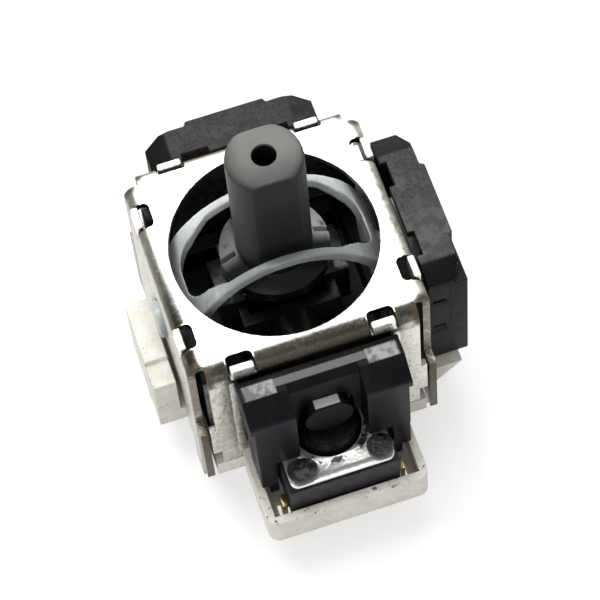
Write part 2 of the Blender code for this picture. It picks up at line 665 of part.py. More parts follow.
def make_switch():
    """Square push switch: body with stakes, metal cover, snap dome, button and four pins."""
    half = SWITCH_SIDE / 2
    body = add_part("switch_body", boxes("switch_body", ((-half, SWITCH_Y - half, switch_body_bottom_z),
                                                         (half, SWITCH_Y + half,
                                                          switch_body_top_z))), charcoal_plastic)
    cavity_floor = switch_body_top_z - SWITCH_CAVITY_DEPTH
    cut(body, "cavity", rods("cavity", ("Z", (0, SWITCH_Y), cavity_floor, switch_body_top_z + OVER,
                                        SWITCH_CAVITY_RADIUS)))
    stakes, heads = [], []
    head_low = cover_top_z + RUN_GAP
    for side_x in (-1, 1):
        for side_y in (-1, 1):
            centre = (side_x * STAKE_OFFSET, SWITCH_Y + side_y * STAKE_OFFSET)
            stakes.append(("Z", centre, switch_body_top_z - STAKE_RADIUS, head_low + STAKE_HEAD_HEIGHT / 2,
                           STAKE_RADIUS))
            heads.append(("Z", centre, head_low, head_low + STAKE_HEAD_HEIGHT, STAKE_HEAD_RADIUS))
    join(body, "stakes", rods("stakes", *stakes, sides=SMALL_CIRCLE))
    join(body, "heads", rods("heads", *heads, sides=SMALL_CIRCLE))
    stub_z = switch_body_bottom_z + STUB_RISE
    stub_slots = []
    for side, along in switch_pin_places():
        xs = sorted((side * (half - STUB_LENGTH - RUN_GAP), side * (half + OVER)))
        reach = SWITCH_PIN_WIDTH / 2 + SLIM_GAP
        stub_slots.append(((xs[0], along - reach, stub_z - SLIM_GAP),
                           (xs[1], along + reach, stub_z + SWITCH_PIN_SHEET + SLIM_GAP)))
    cut(body, "stub_slots", boxes("stub_slots", *stub_slots))

    holes = [ring(STAKE_RADIUS + SLIM_GAP, (x * STAKE_OFFSET, SWITCH_Y + y * STAKE_OFFSET))
             for x in (-1, 1) for y in (-1, 1)]
    outlines = [rounded_rectangle(COVER_WIDTH / 2, COVER_LENGTH / 2, COVER_CORNER, (0.0, SWITCH_Y)),
                ring(COVER_HOLE_RADIUS, (0.0, SWITCH_Y), CIRCLE)] + holes
    add_part("switch_cover", plate("switch_cover", outlines, "XY", cover_bottom_z, cover_top_z), steel)

    flange_top = cover_bottom_z - SLIM_GAP
    flange_bottom = flange_top - BUTTON_FLANGE_HEIGHT
    nub_bottom = cavity_floor + SLIM_GAP + DOME_RISE + DOME_SHEET + BUTTON_TRAVEL + BUTTON_NUB_GAP
    profile = [(0.0, button_top_z), (BUTTON_RADIUS - BUTTON_EDGE, button_top_z),
               (BUTTON_RADIUS, button_top_z - BUTTON_EDGE), (BUTTON_RADIUS, flange_top),
               (BUTTON_FLANGE_RADIUS, flange_top), (BUTTON_FLANGE_RADIUS, flange_bottom),
               (BUTTON_NUB_RADIUS, flange_bottom), (BUTTON_NUB_RADIUS, nub_bottom), (0.0, nub_bottom)]
    button = add_screw(add_part("switch_button", turned_profile("switch_button", profile), dark_plastic))
    button.location = (0.0, SWITCH_Y, 0.0)

    edge_z = cavity_floor + SLIM_GAP
    ball = (DOME_RADIUS ** 2 + DOME_RISE ** 2) / (2 * DOME_RISE)
    radii = [DOME_RADIUS * step / DOME_STEPS for step in range(DOME_STEPS + 1)]
    upper = [(radius, edge_z + DOME_SHEET + math.sqrt(ball ** 2 - radius ** 2) - (ball - DOME_RISE))
             for radius in radii]
    lower = [(radius, height - DOME_SHEET) for radius, height in reversed(upper)]
    dome = add_screw(add_part("switch_dome", turned_profile("switch_dome", upper + lower), steel), SMALL_CIRCLE)
    dome.location = (0.0, SWITCH_Y, 0.0)

    for number, (side, along) in enumerate(switch_pin_places(), start=1):
        stub = sorted((side * (half - STUB_LENGTH), side * (half + SLIM_GAP + SWITCH_PIN_SHEET / 2)))
        name = "switch_pin_%d" % number
        pin = add_part(name, boxes(name, pin_box(side, along, PIN_BOTTOM_Z, stub_z + SWITCH_PIN_SHEET)), brass)
        stub_half = SWITCH_PIN_WIDTH / 2 - HAIR
        join(pin, "stub", boxes("stub", ((stub[0], along - stub_half, stub_z),
                                         (stub[1], along + stub_half, stub_z + SWITCH_PIN_SHEET - HAIR))))


def make_bracket():
    """Dark cover over the switch: a bridge behind the rocker's arm, a tower on each side with a
    wider cap, and legs on the tray's rim. The arm turns and dips in the slot under the bridge."""
    top_z = BRACKET_TOP_Z
    shoulder_y = -(can_half + SEAT_GAP)
    shoulder_z = FRONT_WINDOW_TOP_Z - SEAT_GAP
    tower_bottom = cover_top_z + RUN_GAP + STAKE_HEAD_HEIGHT + SLIM_GAP
    cap_bottom = CAP_FRONT_Z - CAP_EDGE
    body = [(BRACKET_BACK_Y, tower_bottom), (BRACKET_FRONT_Y + 2 * HAIR, tower_bottom),
            (BRACKET_FRONT_Y + 2 * HAIR, cap_bottom + WELD), (shoulder_y, cap_bottom + WELD),
            (shoulder_y, shoulder_z), (BRACKET_BACK_Y, shoulder_z)]
    bracket = add_part("switch_bracket", plate("switch_bracket", [body], "YZ", -BRACKET_HALF_WIDTH,
                                               BRACKET_HALF_WIDTH), dark_plastic)
    cap = [(shoulder_y, cap_bottom), (BRACKET_FRONT_Y, cap_bottom), (BRACKET_FRONT_Y, CAP_FRONT_Z),
           (CAP_CREASE_Y, top_z), (shoulder_y, top_z)]
    join(bracket, "cap", plate("cap", [cap], "YZ", -CAP_HALF_WIDTH, CAP_HALF_WIDTH))
    leg_front = BRACKET_FRONT_Y + LEG_INSET
    for side, name in ((-1, "left"), (1, "right")):
        leg = sorted((side * LEG_INNER_X, side * (BRACKET_HALF_WIDTH - 2 * HAIR)))
        tongue = sorted((side * TONGUE_INNER_X, side * TONGUE_OUTER_X))
        join(bracket, name + "_leg", boxes(name, ((leg[0], leg_front, TRAY_RIM_Z + SEAT_GAP),
                                                  (leg[1], LEG_BACK_Y, tower_bottom + WELD))))
        join(bracket, name + "_tongue", boxes(name, ((tongue[0] + 2 * HAIR, leg_front + WELD, TONGUE_BOTTOM_Z),
                                                     (tongue[1], LEG_BACK_Y - WELD,
                                                      TRAY_RIM_Z + 2 * SEAT_GAP))))

    # Room in front of the bridge, the arm's slot under it, and room round the button
    front = BRACKET_FRONT_Y - OVER
    below = tower_bottom - OVER
    opening = [(front, below), (BRIDGE_FRONT_Y, below), (BRIDGE_FRONT_Y, BRIDGE_FRONT_Z),
               (BRIDGE_CREASE_Y, top_z), (BRIDGE_CREASE_Y, top_z + OVER), (front, top_z + OVER)]
    cut(bracket, "opening", plate("opening", [opening], "YZ", -TOWER_INNER_X, TOWER_INNER_X))
    slot_radius = ARM_RADIUS + RUN_GAP
    back = BRACKET_BACK_Y + OVER
    slot = stadium((PIVOT_Z - below) / 2 + slot_radius, slot_radius)
    slot_centre = (PIVOT_Z + below) / 2
    cut(bracket, "arm_slot", plate("arm_slot", [[(b, slot_centre + a) for a, b in slot]], "XZ", front, back))
    cut(bracket, "button_room", rods("button_room", ("Z", (0, SWITCH_Y), below, button_top_z + SEAT_GAP,
                                                     BUTTON_RADIUS + SEAT_GAP)))
    return bracket


def make_stick():
    """Turned stick with two flats, a blind hole in its end, a domed collar, a hub and a ball foot."""
    ball = arch_inner_radius - SEAT_GAP
    edge_centre = (SHAFT_RADIUS - SHAFT_EDGE, STICK_TOP_Z - SHAFT_EDGE)
    profile = [(0.0, STICK_TOP_Z)] + arc(edge_centre, SHAFT_EDGE, 90, 0, SHAFT_EDGE_STEPS)
    for step in range(COLLAR_STEPS + 1):
        radius = SHAFT_RADIUS + (COLLAR_RADIUS - SHAFT_RADIUS) * step / COLLAR_STEPS
        profile.append((radius, PIVOT_Z + math.sqrt(ball ** 2 - radius ** 2)))
    foot_top_z = PIVOT_Z - FOOT_TOP_DROP
    profile += [(COLLAR_RADIUS, COLLAR_EDGE_Z), (COLLAR_UNDERSIDE_RADIUS, COLLAR_EDGE_Z - COLLAR_THICKNESS),
                (NECK_RADIUS, COLLAR_EDGE_Z - NECK_TOP_DROP), (NECK_RADIUS, PIVOT_Z),
                (LOWER_NECK_RADIUS, PIVOT_Z - LOWER_NECK_DROP), (LOWER_NECK_RADIUS, foot_top_z + WELD),
                (FOOT_RADIUS, foot_top_z)]
    for step in range(FOOT_STEPS + 1):
        radius = FOOT_RADIUS * (1 - step / FOOT_STEPS)
        profile.append((radius, PIVOT_Z - math.sqrt(FOOT_BALL_RADIUS ** 2 - radius ** 2)))
    stick = add_screw(add_part("stick", turned_profile("stick", profile), stick_plastic))
    flat = SHAFT_FLATS / 2
    reach = SHAFT_RADIUS + OVER
    cut(stick, "flats", boxes("flats", ((-reach, -reach, FLATS_BOTTOM_Z), (reach, -flat, STICK_TOP_Z + OVER)),
                              ((-reach, flat, FLATS_BOTTOM_Z), (reach, reach, STICK_TOP_Z + OVER))))
    cut(stick, "end_hole", rods("end_hole", ("Z", (0, 0), STICK_TOP_Z - STICK_HOLE_DEPTH, STICK_TOP_Z + OVER,
                                             STICK_HOLE_RADIUS), sides=SMALL_CIRCLE))
    join(stick, "hub", rods("hub", ("X", (0, PIVOT_Z), -HUB_HALF_LENGTH, HUB_HALF_LENGTH, HUB_RADIUS),
                            sides=SMALL_CIRCLE))
    cut(stick, "pin_hole", rods("pin_hole", ("X", (0, PIVOT_Z), -HUB_HALF_LENGTH - OVER, HUB_HALF_LENGTH + OVER,
                                             PIN_RADIUS + SLIM_GAP), sides=SMALL_CIRCLE))
    slit_in = SHAFT_RADIUS + SLIT_INNER_GAP
    slit_bottom = PIVOT_Z + math.sqrt(ball ** 2 - COLLAR_RADIUS ** 2) - SLIT_DEPTH
    half = SLIT_WIDTH / 2
    cut(stick, "slits", boxes("slits", ((-COLLAR_RADIUS - OVER, -half, slit_bottom),
                                        (-slit_in, half, CAN_TOP_Z + OVER)),
                              ((slit_in, -half, slit_bottom), (COLLAR_RADIUS + OVER, half, CAN_TOP_Z + OVER))))
    return stick


def bow(half_span, rise, start_deg, end_deg):
    """Points along the oval bow of the arch, seen from the front."""
    return [(across * half_span, PIVOT_Z + up * rise)
            for across, up in arc((0.0, 0.0), 1.0, start_deg, end_deg, ARCH_STEPS)]


def make_arch():
    """Upper arch: a slotted bow over the stick that turns about X and drives the right sensor."""
    inner = arch_inner_radius
    low = PIVOT_Z - ARCH_HALF_WIDTH - OVER
    outline = [(arch_outer_radius, low)] + bow(arch_outer_radius, ARCH_RISE, 0, 180)
    outline += [(-arch_outer_radius, low), (-inner, low)]
    outline += bow(inner, ARCH_RISE - ARCH_WALL, 180, 0) + [(inner, low)]
    wide = ARCH_HALF_WIDTH + OVER
    arch = add_part("upper_arch", plate("upper_arch", [outline], "XZ", -wide, wide), milky_plastic)
    side = arc((0.0, PIVOT_Z), ARCH_HALF_WIDTH, 180, 360, 16)
    side += [(ARCH_HALF_WIDTH, arch_top_z + OVER), (-ARCH_HALF_WIDTH, arch_top_z + OVER)]
    keep_within(arch, "side_shape", plate("side_shape", [side], "YZ", -can_half, can_half))
    corner = ARCH_SLOT_END_X - ARCH_SLOT_NECK_X
    end = arc((ARCH_SLOT_NECK_X, ARCH_SLOT_END_HALF - corner), corner, 90, 0, 5)
    upper_right = [(ARCH_SLOT_WIDE_X, arch_slot_half)] + end
    upper = [(-x, y) for x, y in reversed(upper_right)] + upper_right
    slot = upper + [(-x, -y) for x, y in upper]
    cut(arch, "slot", plate("slot", [slot], "XY", PIVOT_Z, arch_top_z + OVER))
    start = arch_inner_radius + ARCH_WALL / 2
    tip = can_half + SLIM_GAP
    join(arch, "journals", rods("journals", ("X", (0, PIVOT_Z), -tip - SLIM_GAP, -start, JOURNAL_RADIUS),
                                ("X", (0, PIVOT_Z), start, tip, JOURNAL_RADIUS), sides=SMALL_CIRCLE))
    join(arch, "blade", boxes("blade", ((tip - WELD, -BLADE_THICKNESS / 2, PIVOT_Z - BLADE_WIDTH / 2),
                                        (blade_end, BLADE_THICKNESS / 2, PIVOT_Z + BLADE_WIDTH / 2))))
    set_origin(arch, (0.0, 0.0, PIVOT_Z))
    return arch


def make_rocker():
    """Lower rocker: a hollow hub round the stick on a bar along Y. Its front end presses the
    switch and its rear blade drives the rear sensor."""
    rocker = add_part("lower_rocker", boxes("lower_rocker", ((-ROCKER_HALF_X, -ROCKER_HALF_Y, ROCKER_BOTTOM_Z),
                                                             (ROCKER_HALF_X, ROCKER_HALF_Y,
                                                              ROCKER_TOP_Z))), dark_plastic)
    edge = math.degrees(math.asin(CHEEK_HALF_Y / CHEEK_RADIUS))
    cheek_bottom = ROCKER_BOTTOM_Z - CHEEK_DROP
    cheek = [(CHEEK_HALF_Y, cheek_bottom)]
    cheek += arc((0.0, PIVOT_Z), CHEEK_RADIUS, 90 - edge, 90 + edge, 8)
    cheek += [(-CHEEK_HALF_Y, cheek_bottom)]
    join(rocker, "left_cheek", plate("left_cheek", [cheek], "YZ", -CHEEK_OUTER_X, -HUB_HALF_LENGTH))
    join(rocker, "right_cheek", plate("right_cheek", [cheek], "YZ", HUB_HALF_LENGTH, CHEEK_OUTER_X))
    start = ROCKER_HALF_Y - ROCKER_WALL_Y / 2
    tip = can_half + SLIM_GAP
    join(rocker, "arms", rods("arms", ("Y", (0, PIVOT_Z), ARM_FRONT_Y, -start, ARM_RADIUS),
                              ("Y", (0, PIVOT_Z), start, ARM_REAR_Y, ARM_RADIUS)))
    join(rocker, "journal", rods("journal", ("Y", (0, PIVOT_Z), ARM_REAR_Y - WELD, tip, JOURNAL_RADIUS),
                                 sides=SMALL_CIRCLE))
    join(rocker, "blade", boxes("blade", ((-BLADE_THICKNESS / 2, tip - WELD, PIVOT_Z - BLADE_WIDTH / 2),
                                          (BLADE_THICKNESS / 2, blade_end, PIVOT_Z + BLADE_WIDTH / 2))))
    room_x = HUB_HALF_LENGTH + RUN_GAP
    room_y = ROCKER_HALF_Y - ROCKER_WALL_Y
    cut(rocker, "room", boxes("room", ((-room_x, -room_y, ROCKER_BOTTOM_Z - OVER),
                                       (room_x, room_y, cheek_top_z + OVER))))
    cut(rocker, "pin_holes", rods("pin_holes", ("X", (0, PIVOT_Z), -CHEEK_OUTER_X - OVER, CHEEK_OUTER_X + OVER,
                                                PIN_RADIUS + SLIM_GAP), sides=SMALL_CIRCLE))
    cut(rocker, "pusher_flat", boxes("pusher_flat", ((-ARM_RADIUS, ARM_FRONT_Y - OVER, PUSHER_FLAT_Z),
                                                     (ARM_RADIUS, PUSHER_FLAT_BACK_Y, PUSHER_FLAT_Z + OVER))))
    set_origin(rocker, (0.0, PRESS_AXIS_Y, PIVOT_Z))

    pin = add_part("rocker_pin", rods("rocker_pin", ("X", (0, PIVOT_Z), -PIN_HALF_LENGTH, PIN_HALF_LENGTH,
                                                     PIN_RADIUS),
                                      sides=SMALL_CIRCLE), steel, smooth=True)
    set_origin(pin, (0.0, 0.0, PIVOT_Z))


def make_spring_and_plunger():
    """The plunger stands under the stick's foot, pushed up by a coil spring on the base's floor."""
    stem_bottom = plunger_bottom_z - PLUNGER_STEM_LENGTH
    profile = [(0.0, plunger_top_z), (PLUNGER_RADIUS - PLUNGER_EDGE, plunger_top_z),
               (PLUNGER_RADIUS, plunger_top_z - PLUNGER_EDGE), (PLUNGER_RADIUS, plunger_bottom_z),
               (PLUNGER_STEM_RADIUS, plunger_bottom_z),
               (PLUNGER_STEM_RADIUS, stem_bottom), (0.0, stem_bottom)]
    add_screw(add_part("spring_plunger", turned_profile("spring_plunger", profile), milky_plastic))

    low = BASE_HEIGHT + RUN_GAP + SPRING_WIRE_RADIUS
    high = plunger_bottom_z - RUN_GAP - SPRING_WIRE_RADIUS
    curve = bpy.data.curves.new("return_spring", "CURVE")
    curve.dimensions = "3D"
    curve.bevel_depth = SPRING_WIRE_RADIUS
    curve.bevel_resolution = 2
    curve.use_fill_caps = True
    count = int(SPRING_TURNS * SPRING_POINTS_A_TURN) + 1
    spline = curve.splines.new("POLY")
    spline.points.add(count - 1)
    for index, point in enumerate(spline.points):
        share = index / (count - 1)
        angle = 2 * math.pi * SPRING_TURNS * share
        point.co = (SPRING_RADIUS * math.cos(angle), SPRING_RADIUS * math.sin(angle),
                    low + (high - low) * share, 1.0)
    spring = bpy.data.objects.new("return_spring", curve)
    parts.objects.link(spring)
    curve.materials.append(steel)


def make_inner_frame():
    """Dark frame on the base's floor inside the can, with a corner post beside each bearing."""
    bottom = BASE_HEIGHT + SEAT_GAP
    side = frame_half
    frame = add_part("inner_frame", boxes("inner_frame", ((-side, -side, bottom), (side, side, FRAME_TOP_Z))),
                     dark_plastic)
    room = side - FRAME_WALL
    cut(frame, "room", boxes("room", ((-room, -room, bottom + FRAME_FLOOR), (room, room, FRAME_TOP_Z + OVER))))
    guide = PLUNGER_RADIUS + RUN_GAP
    join(frame, "guide", rods("guide", ("Z", (0, 0), bottom + FRAME_FLOOR / 2, plunger_top_z,
                                        guide + GUIDE_WALL)))
    cut(frame, "guide_bore", rods("guide_bore", ("Z", (0, 0), bottom - OVER, plunger_top_z + OVER, guide)))
    posts = []
    for side_x in (-1, 1):
        for side_y in (-1, 1):
            xs = sorted((side_x * (side - POST_SIDE), side_x * (side - 2 * HAIR)))
            ys = sorted((side_y * (side - POST_SIDE), side_y * (side - 2 * HAIR)))
            posts.append(((xs[0], ys[0], bottom + FRAME_FLOOR / 2), (xs[1], ys[1], POST_TOP_Z)))
    join(frame, "posts", boxes("posts", *posts))
    notch = FRAME_FRONT_NOTCH / 2
    cut(frame, "switch_room", boxes("switch_room", ((-notch, -side - OVER, bottom - OVER),
                                                    (notch, FRAME_FRONT_Y, FRAME_TOP_Z + OVER))))
    return frame


def make_pot(prefix, turn_deg):
    """Rotary sensor on a wall: housing, resistive board, three terminals, rotor and wiper. It is
    modelled on the right-hand wall and turned about Z to its own."""
    turned = Matrix.Rotation(math.radians(turn_deg), 4, "Z")
    half = POT_HALF_WIDTH
    outline = [(pot_back, -half), (pot_shell - POT_CORNER_DEPTH, -half), (pot_shell, -half + POT_CORNER_WIDTH),
               (pot_shell, -POT_PANEL_HALF - POT_PANEL_SLOPE), (pot_front, -POT_PANEL_HALF),
               (pot_front, POT_PANEL_HALF), (pot_shell, POT_PANEL_HALF + POT_PANEL_SLOPE),
               (pot_shell, half - POT_CORNER_WIDTH),
               (pot_shell - POT_CORNER_DEPTH, half), (pot_back, half)]
    housing = add_part(prefix + "_housing", plate(prefix + "_housing", [outline], "XY", POT_BOTTOM_Z,
                                                  POT_TOP_Z),
                       charcoal_plastic)
    cavity_top = POT_TOP_Z - POT_FLOOR
    cavity_bottom = POT_BOTTOM_Z + POT_FLOOR
    cut(housing, "cavity", boxes("cavity", ((pot_back - OVER, -POT_CAVITY_HALF, cavity_bottom),
                                            (pot_cavity_out, POT_CAVITY_HALF, cavity_top))))
    slope = [(POT_END_SLOPE_START, POT_TOP_Z), (half + OVER, POT_TOP_Z + OVER),
             (half + OVER, POT_TOP_Z - POT_END_DROP * (1 + OVER / (half - POT_END_SLOPE_START)))]
    for sign, end in ((-1, "front_slope"), (1, "rear_slope")):
        cut(housing, end, plate(end, [[(sign * a, b) for a, b in slope]], "YZ", pot_back - OVER,
                                pot_front + OVER))
    notches = [((pot_back - OVER, low, POT_NOTCH_BOTTOM_Z),
                (pot_back + POT_NOTCH_DEPTH, high, POT_TOP_Z + OVER))
               for low, high in ((-POT_NOTCH_FAR, -POT_NOTCH_NEAR), (POT_NOTCH_NEAR, POT_NOTCH_FAR))]
    cut(housing, "notches", boxes("notches", *notches))
    slot_low = pot_back + POT_SLOT_INSET
    slots = [((slot_low, -half - OVER, height), (slot_low + POT_SLOT_LENGTH, -half + POT_SLOT_DEPTH,
                                                 height + POT_SLOT_HEIGHT))
             for height in (POT_SLOT_LOW_Z, POT_SLOT_HIGH_Z)]
    cut(housing, "end_slots", boxes("end_slots", *slots))

    element_in = element_out - ELEMENT_SHEET
    strip_in = element_out + SLIM_GAP
    board_low, board_high = cavity_bottom + SEAT_GAP, cavity_top - SEAT_GAP
    wide = POT_CAVITY_HALF - ELEMENT_SIDE_GAP
    edge = [(-wide, board_low), (wide, board_low), (wide, board_high), (-wide, board_high)]
    hole = ring(ELEMENT_HOLE_RADIUS, (0.0, PIVOT_Z))
    element = add_part(prefix + "_element",
                       plate(prefix + "_element", [edge, hole], "YZ", element_in, element_out), resin_board)
    pins = []
    terminal_slots = []
    for number in (-1, 0, 1):
        centre = number * TERMINAL_PITCH
        width = TERMINAL_WIDTH / 2
        name = "%s_terminal_%d" % (prefix, number + 2)
        pins.append(add_part(name, boxes(name, ((strip_in, centre - width, PIN_BOTTOM_Z),
                                                (strip_in + TERMINAL_SHEET, centre + width,
                                                 TERMINAL_TOP_Z))), steel))
        terminal_slots.append(((strip_in - SLIM_GAP, centre - width - SLIM_GAP, POT_BOTTOM_Z - OVER),
                               (strip_in + TERMINAL_SHEET + SLIM_GAP, centre + width + SLIM_GAP,
                                cavity_bottom + OVER)))
    cut(housing, "terminal_slots", boxes("terminal_slots", *terminal_slots))

    slot_half_y = BLADE_THICKNESS / 2 + SLIM_GAP
    slot_half_z = BLADE_WIDTH / 2 + SLIM_GAP
    slot_hole = [(-slot_half_y, PIVOT_Z - slot_half_z), (slot_half_y, PIVOT_Z - slot_half_z),
                 (slot_half_y, PIVOT_Z + slot_half_z), (-slot_half_y, PIVOT_Z + slot_half_z)]
    rotor = add_part(prefix + "_rotor",
                     plate(prefix + "_rotor", [ring(ROTOR_RADIUS, (0.0, PIVOT_Z), CIRCLE), slot_hole],
                           "YZ", rotor_in, rotor_in + ROTOR_THICKNESS), milky_plastic, smooth=True)
    wiper_in = rotor_in + ROTOR_THICKNESS + SLIM_GAP
    wiper = add_part(prefix + "_wiper", plate(prefix + "_wiper", [ring(WIPER_RADIUS, (0.0, PIVOT_Z)),
                                                                  ring(WIPER_HOLE_RADIUS, (0.0, PIVOT_Z))],
                                              "YZ", wiper_in, wiper_in + WIPER_SHEET), steel)
    brush_half = BRUSH_WIDTH / 2
    join(wiper, "brush", boxes("brush", ((wiper_in + HAIR, -brush_half, PIVOT_Z - ROTOR_RADIUS),
                                         (wiper_in + WIPER_SHEET - HAIR, brush_half,
                                          PIVOT_Z - WIPER_RADIUS + WELD))))
    moved = [housing, element, rotor, wiper] + pins
    for piece in moved:
        piece.data.transform(turned)
        for change in piece.modifiers:
            if change.type == "BOOLEAN":
                change.object.data.transform(turned)


make_can()
make_base()
make_switch()
make_bracket()
make_stick()
make_arch()
make_rocker()
make_spring_and_plunger()
make_inner_frame()
make_pot("x_sensor", 0.0)
make_pot("y_sensor", 90.0)
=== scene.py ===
import math

import bpy
from mathutils import Matrix, Vector


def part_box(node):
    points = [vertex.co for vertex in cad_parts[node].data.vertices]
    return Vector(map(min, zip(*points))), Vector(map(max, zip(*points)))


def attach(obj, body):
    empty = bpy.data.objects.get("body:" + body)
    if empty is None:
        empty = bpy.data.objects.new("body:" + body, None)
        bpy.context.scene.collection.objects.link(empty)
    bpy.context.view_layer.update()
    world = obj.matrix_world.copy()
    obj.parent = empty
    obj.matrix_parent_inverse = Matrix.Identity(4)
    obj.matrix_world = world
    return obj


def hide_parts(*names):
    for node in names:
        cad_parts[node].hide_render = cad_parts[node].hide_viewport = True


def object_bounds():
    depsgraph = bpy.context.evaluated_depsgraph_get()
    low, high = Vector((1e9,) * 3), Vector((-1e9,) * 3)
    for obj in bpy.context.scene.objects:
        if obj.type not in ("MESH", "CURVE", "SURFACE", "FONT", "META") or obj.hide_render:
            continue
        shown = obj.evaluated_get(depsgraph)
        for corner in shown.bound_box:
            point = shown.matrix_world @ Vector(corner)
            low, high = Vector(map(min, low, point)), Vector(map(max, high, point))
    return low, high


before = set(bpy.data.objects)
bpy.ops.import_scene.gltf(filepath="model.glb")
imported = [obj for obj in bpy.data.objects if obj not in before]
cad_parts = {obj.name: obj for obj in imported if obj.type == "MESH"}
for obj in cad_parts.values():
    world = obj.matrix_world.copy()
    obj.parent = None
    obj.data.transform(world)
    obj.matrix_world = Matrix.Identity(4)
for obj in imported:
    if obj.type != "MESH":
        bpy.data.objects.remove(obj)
cad_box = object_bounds()

# Studio: a white sweep under the module, one large softbox above and behind it, a weak light from
# the front, and a long lens that looks down on the front from the height of the photograph.
FLOOR_SIZE = 0.9
FLOOR_ALBEDO = 0.50
FLOOR_LIFT = 0.58
WORLD_STRENGTH = 0.50
SOFTBOX_SIDE = 0.26
SOFTBOX_PLACE = (-0.03, 0.15, 0.31)
SOFTBOX_POWER = 1.15
FRONT_LIGHT_SIDE = 0.20
FRONT_LIGHT_PLACE = (-0.16, -0.26, 0.20)
FRONT_LIGHT_POWER = 0.26
LIGHTS_AIM = (0.0, 0.0, 0.006)
CAMERA_PLACE = (-0.015504, -0.073398, 0.143093)
CAMERA_YAW = -0.22142
CAMERA_ELEVATION = 1.07467
CAMERA_ROLL = 0.10920
CAMERA_LENS = 176.65
CAMERA_FILM = 36.0
CAMERA_NEAR = 0.01
WHITE = (1.0, 1.0, 1.0, 1.0)

scene = bpy.context.scene
scene.view_settings.view_transform = "Standard"


def add_node(tree, kind, inputs=None, **settings):
    """A shader node whose inputs are set to values or linked to sockets."""
    node = tree.nodes.new(kind)
    for name, value in settings.items():
        setattr(node, name, value)
    for name, value in (inputs or {}).items():
        if isinstance(value, bpy.types.NodeSocket):
            tree.links.new(value, node.inputs[name])
        else:
            node.inputs[name].default_value = value
    return node


def combine(tree, first, second, operation):
    return add_node(tree, "ShaderNodeMath", {0: first, 1: second}, operation=operation).outputs[0]


def add_light(name, side, place, power):
    """A square lamp that faces the middle of the module."""
    light = bpy.data.lights.new(name, "AREA")
    light.shape = "SQUARE"
    light.size = side
    light.energy = power
    lamp = bpy.data.objects.new(name, light)
    scene.collection.objects.link(lamp)
    lamp.location = place
    ray = Vector(LIGHTS_AIM) - Vector(place)
    lamp.rotation_euler = ray.to_track_quat("-Z", "Y").to_euler()


def aim_camera():
    """Camera from the photograph's own place, yaw, elevation and roll."""
    level_sine, level_cosine = math.sin(CAMERA_YAW), math.cos(CAMERA_YAW)
    steep_sine, steep_cosine = math.sin(CAMERA_ELEVATION), math.cos(CAMERA_ELEVATION)
    back = Vector((level_sine * steep_cosine, -level_cosine * steep_cosine, steep_sine))
    level = Vector((level_cosine, level_sine, 0.0))
    upright = back.cross(level)
    right = math.cos(CAMERA_ROLL) * level - math.sin(CAMERA_ROLL) * upright
    top = math.sin(CAMERA_ROLL) * level + math.cos(CAMERA_ROLL) * upright
    lens = bpy.data.cameras.new("camera")
    lens.sensor_width = CAMERA_FILM
    lens.lens = CAMERA_LENS
    lens.clip_start = CAMERA_NEAR
    camera = bpy.data.objects.new("camera", lens)
    scene.collection.objects.link(camera)
    camera.matrix_world = Matrix((
        (right.x, top.x, back.x, CAMERA_PLACE[0]),
        (right.y, top.y, back.y, CAMERA_PLACE[1]),
        (right.z, top.z, back.z, CAMERA_PLACE[2]),
        (0.0, 0.0, 0.0, 1.0)))
    scene.camera = camera


def seen_rays(tree):
    """1 for rays from the camera, from gloss and through glass, which see the white background."""
    path = add_node(tree, "ShaderNodeLightPath").outputs
    straight = combine(tree, path["Is Camera Ray"], path["Is Glossy Ray"], "MAXIMUM")
    return combine(tree, straight, path["Is Transmission Ray"], "MAXIMUM")


def build_world():
    """Pale grey light from all round, which shows as plain white."""
    world = bpy.data.worlds.new("studio")
    scene.world = world
    world.use_nodes = True
    tree = world.node_tree
    tree.nodes.clear()
    plain = add_node(tree, "ShaderNodeBackground", {"Color": WHITE, "Strength": WORLD_STRENGTH})
    white = add_node(tree, "ShaderNodeBackground", {"Color": WHITE, "Strength": 1.0})
    choice = {0: seen_rays(tree), 1: plain.outputs[0], 2: white.outputs[0]}
    mixed = add_node(tree, "ShaderNodeMixShader", choice)
    add_node(tree, "ShaderNodeOutputWorld", {"Surface": mixed.outputs[0]})


def lay_floor():
    """White paper that keeps the module's shadow and is lifted to the background's white."""
    bpy.ops.object.select_all(action="DESELECT")
    bpy.ops.mesh.primitive_plane_add(size=FLOOR_SIZE, location=(0.0, 0.0, cad_box[0].z))
    floor = bpy.context.active_object
    floor.name = "floor"
    paper = bpy.data.materials.new("white_sweep")
    paper.use_nodes = True
    tree = paper.node_tree
    tree.nodes.clear()
    lift = combine(tree, seen_rays(tree), FLOOR_LIFT, "MULTIPLY")
    grey = (FLOOR_ALBEDO, FLOOR_ALBEDO, FLOOR_ALBEDO, 1.0)
    matt = add_node(tree, "ShaderNodeBsdfDiffuse", {"Color": grey})
    glow = add_node(tree, "ShaderNodeEmission", {"Color": WHITE, "Strength": lift})
    both = add_node(tree, "ShaderNodeAddShader", {0: matt.outputs[0], 1: glow.outputs[0]})
    add_node(tree, "ShaderNodeOutputMaterial", {"Surface": both.outputs[0]})
    floor.data.materials.append(paper)


aim_camera()
build_world()
lay_floor()
add_light("softbox", SOFTBOX_SIDE, SOFTBOX_PLACE, SOFTBOX_POWER)
add_light("front_light", FRONT_LIGHT_SIDE, FRONT_LIGHT_PLACE, FRONT_LIGHT_POWER)

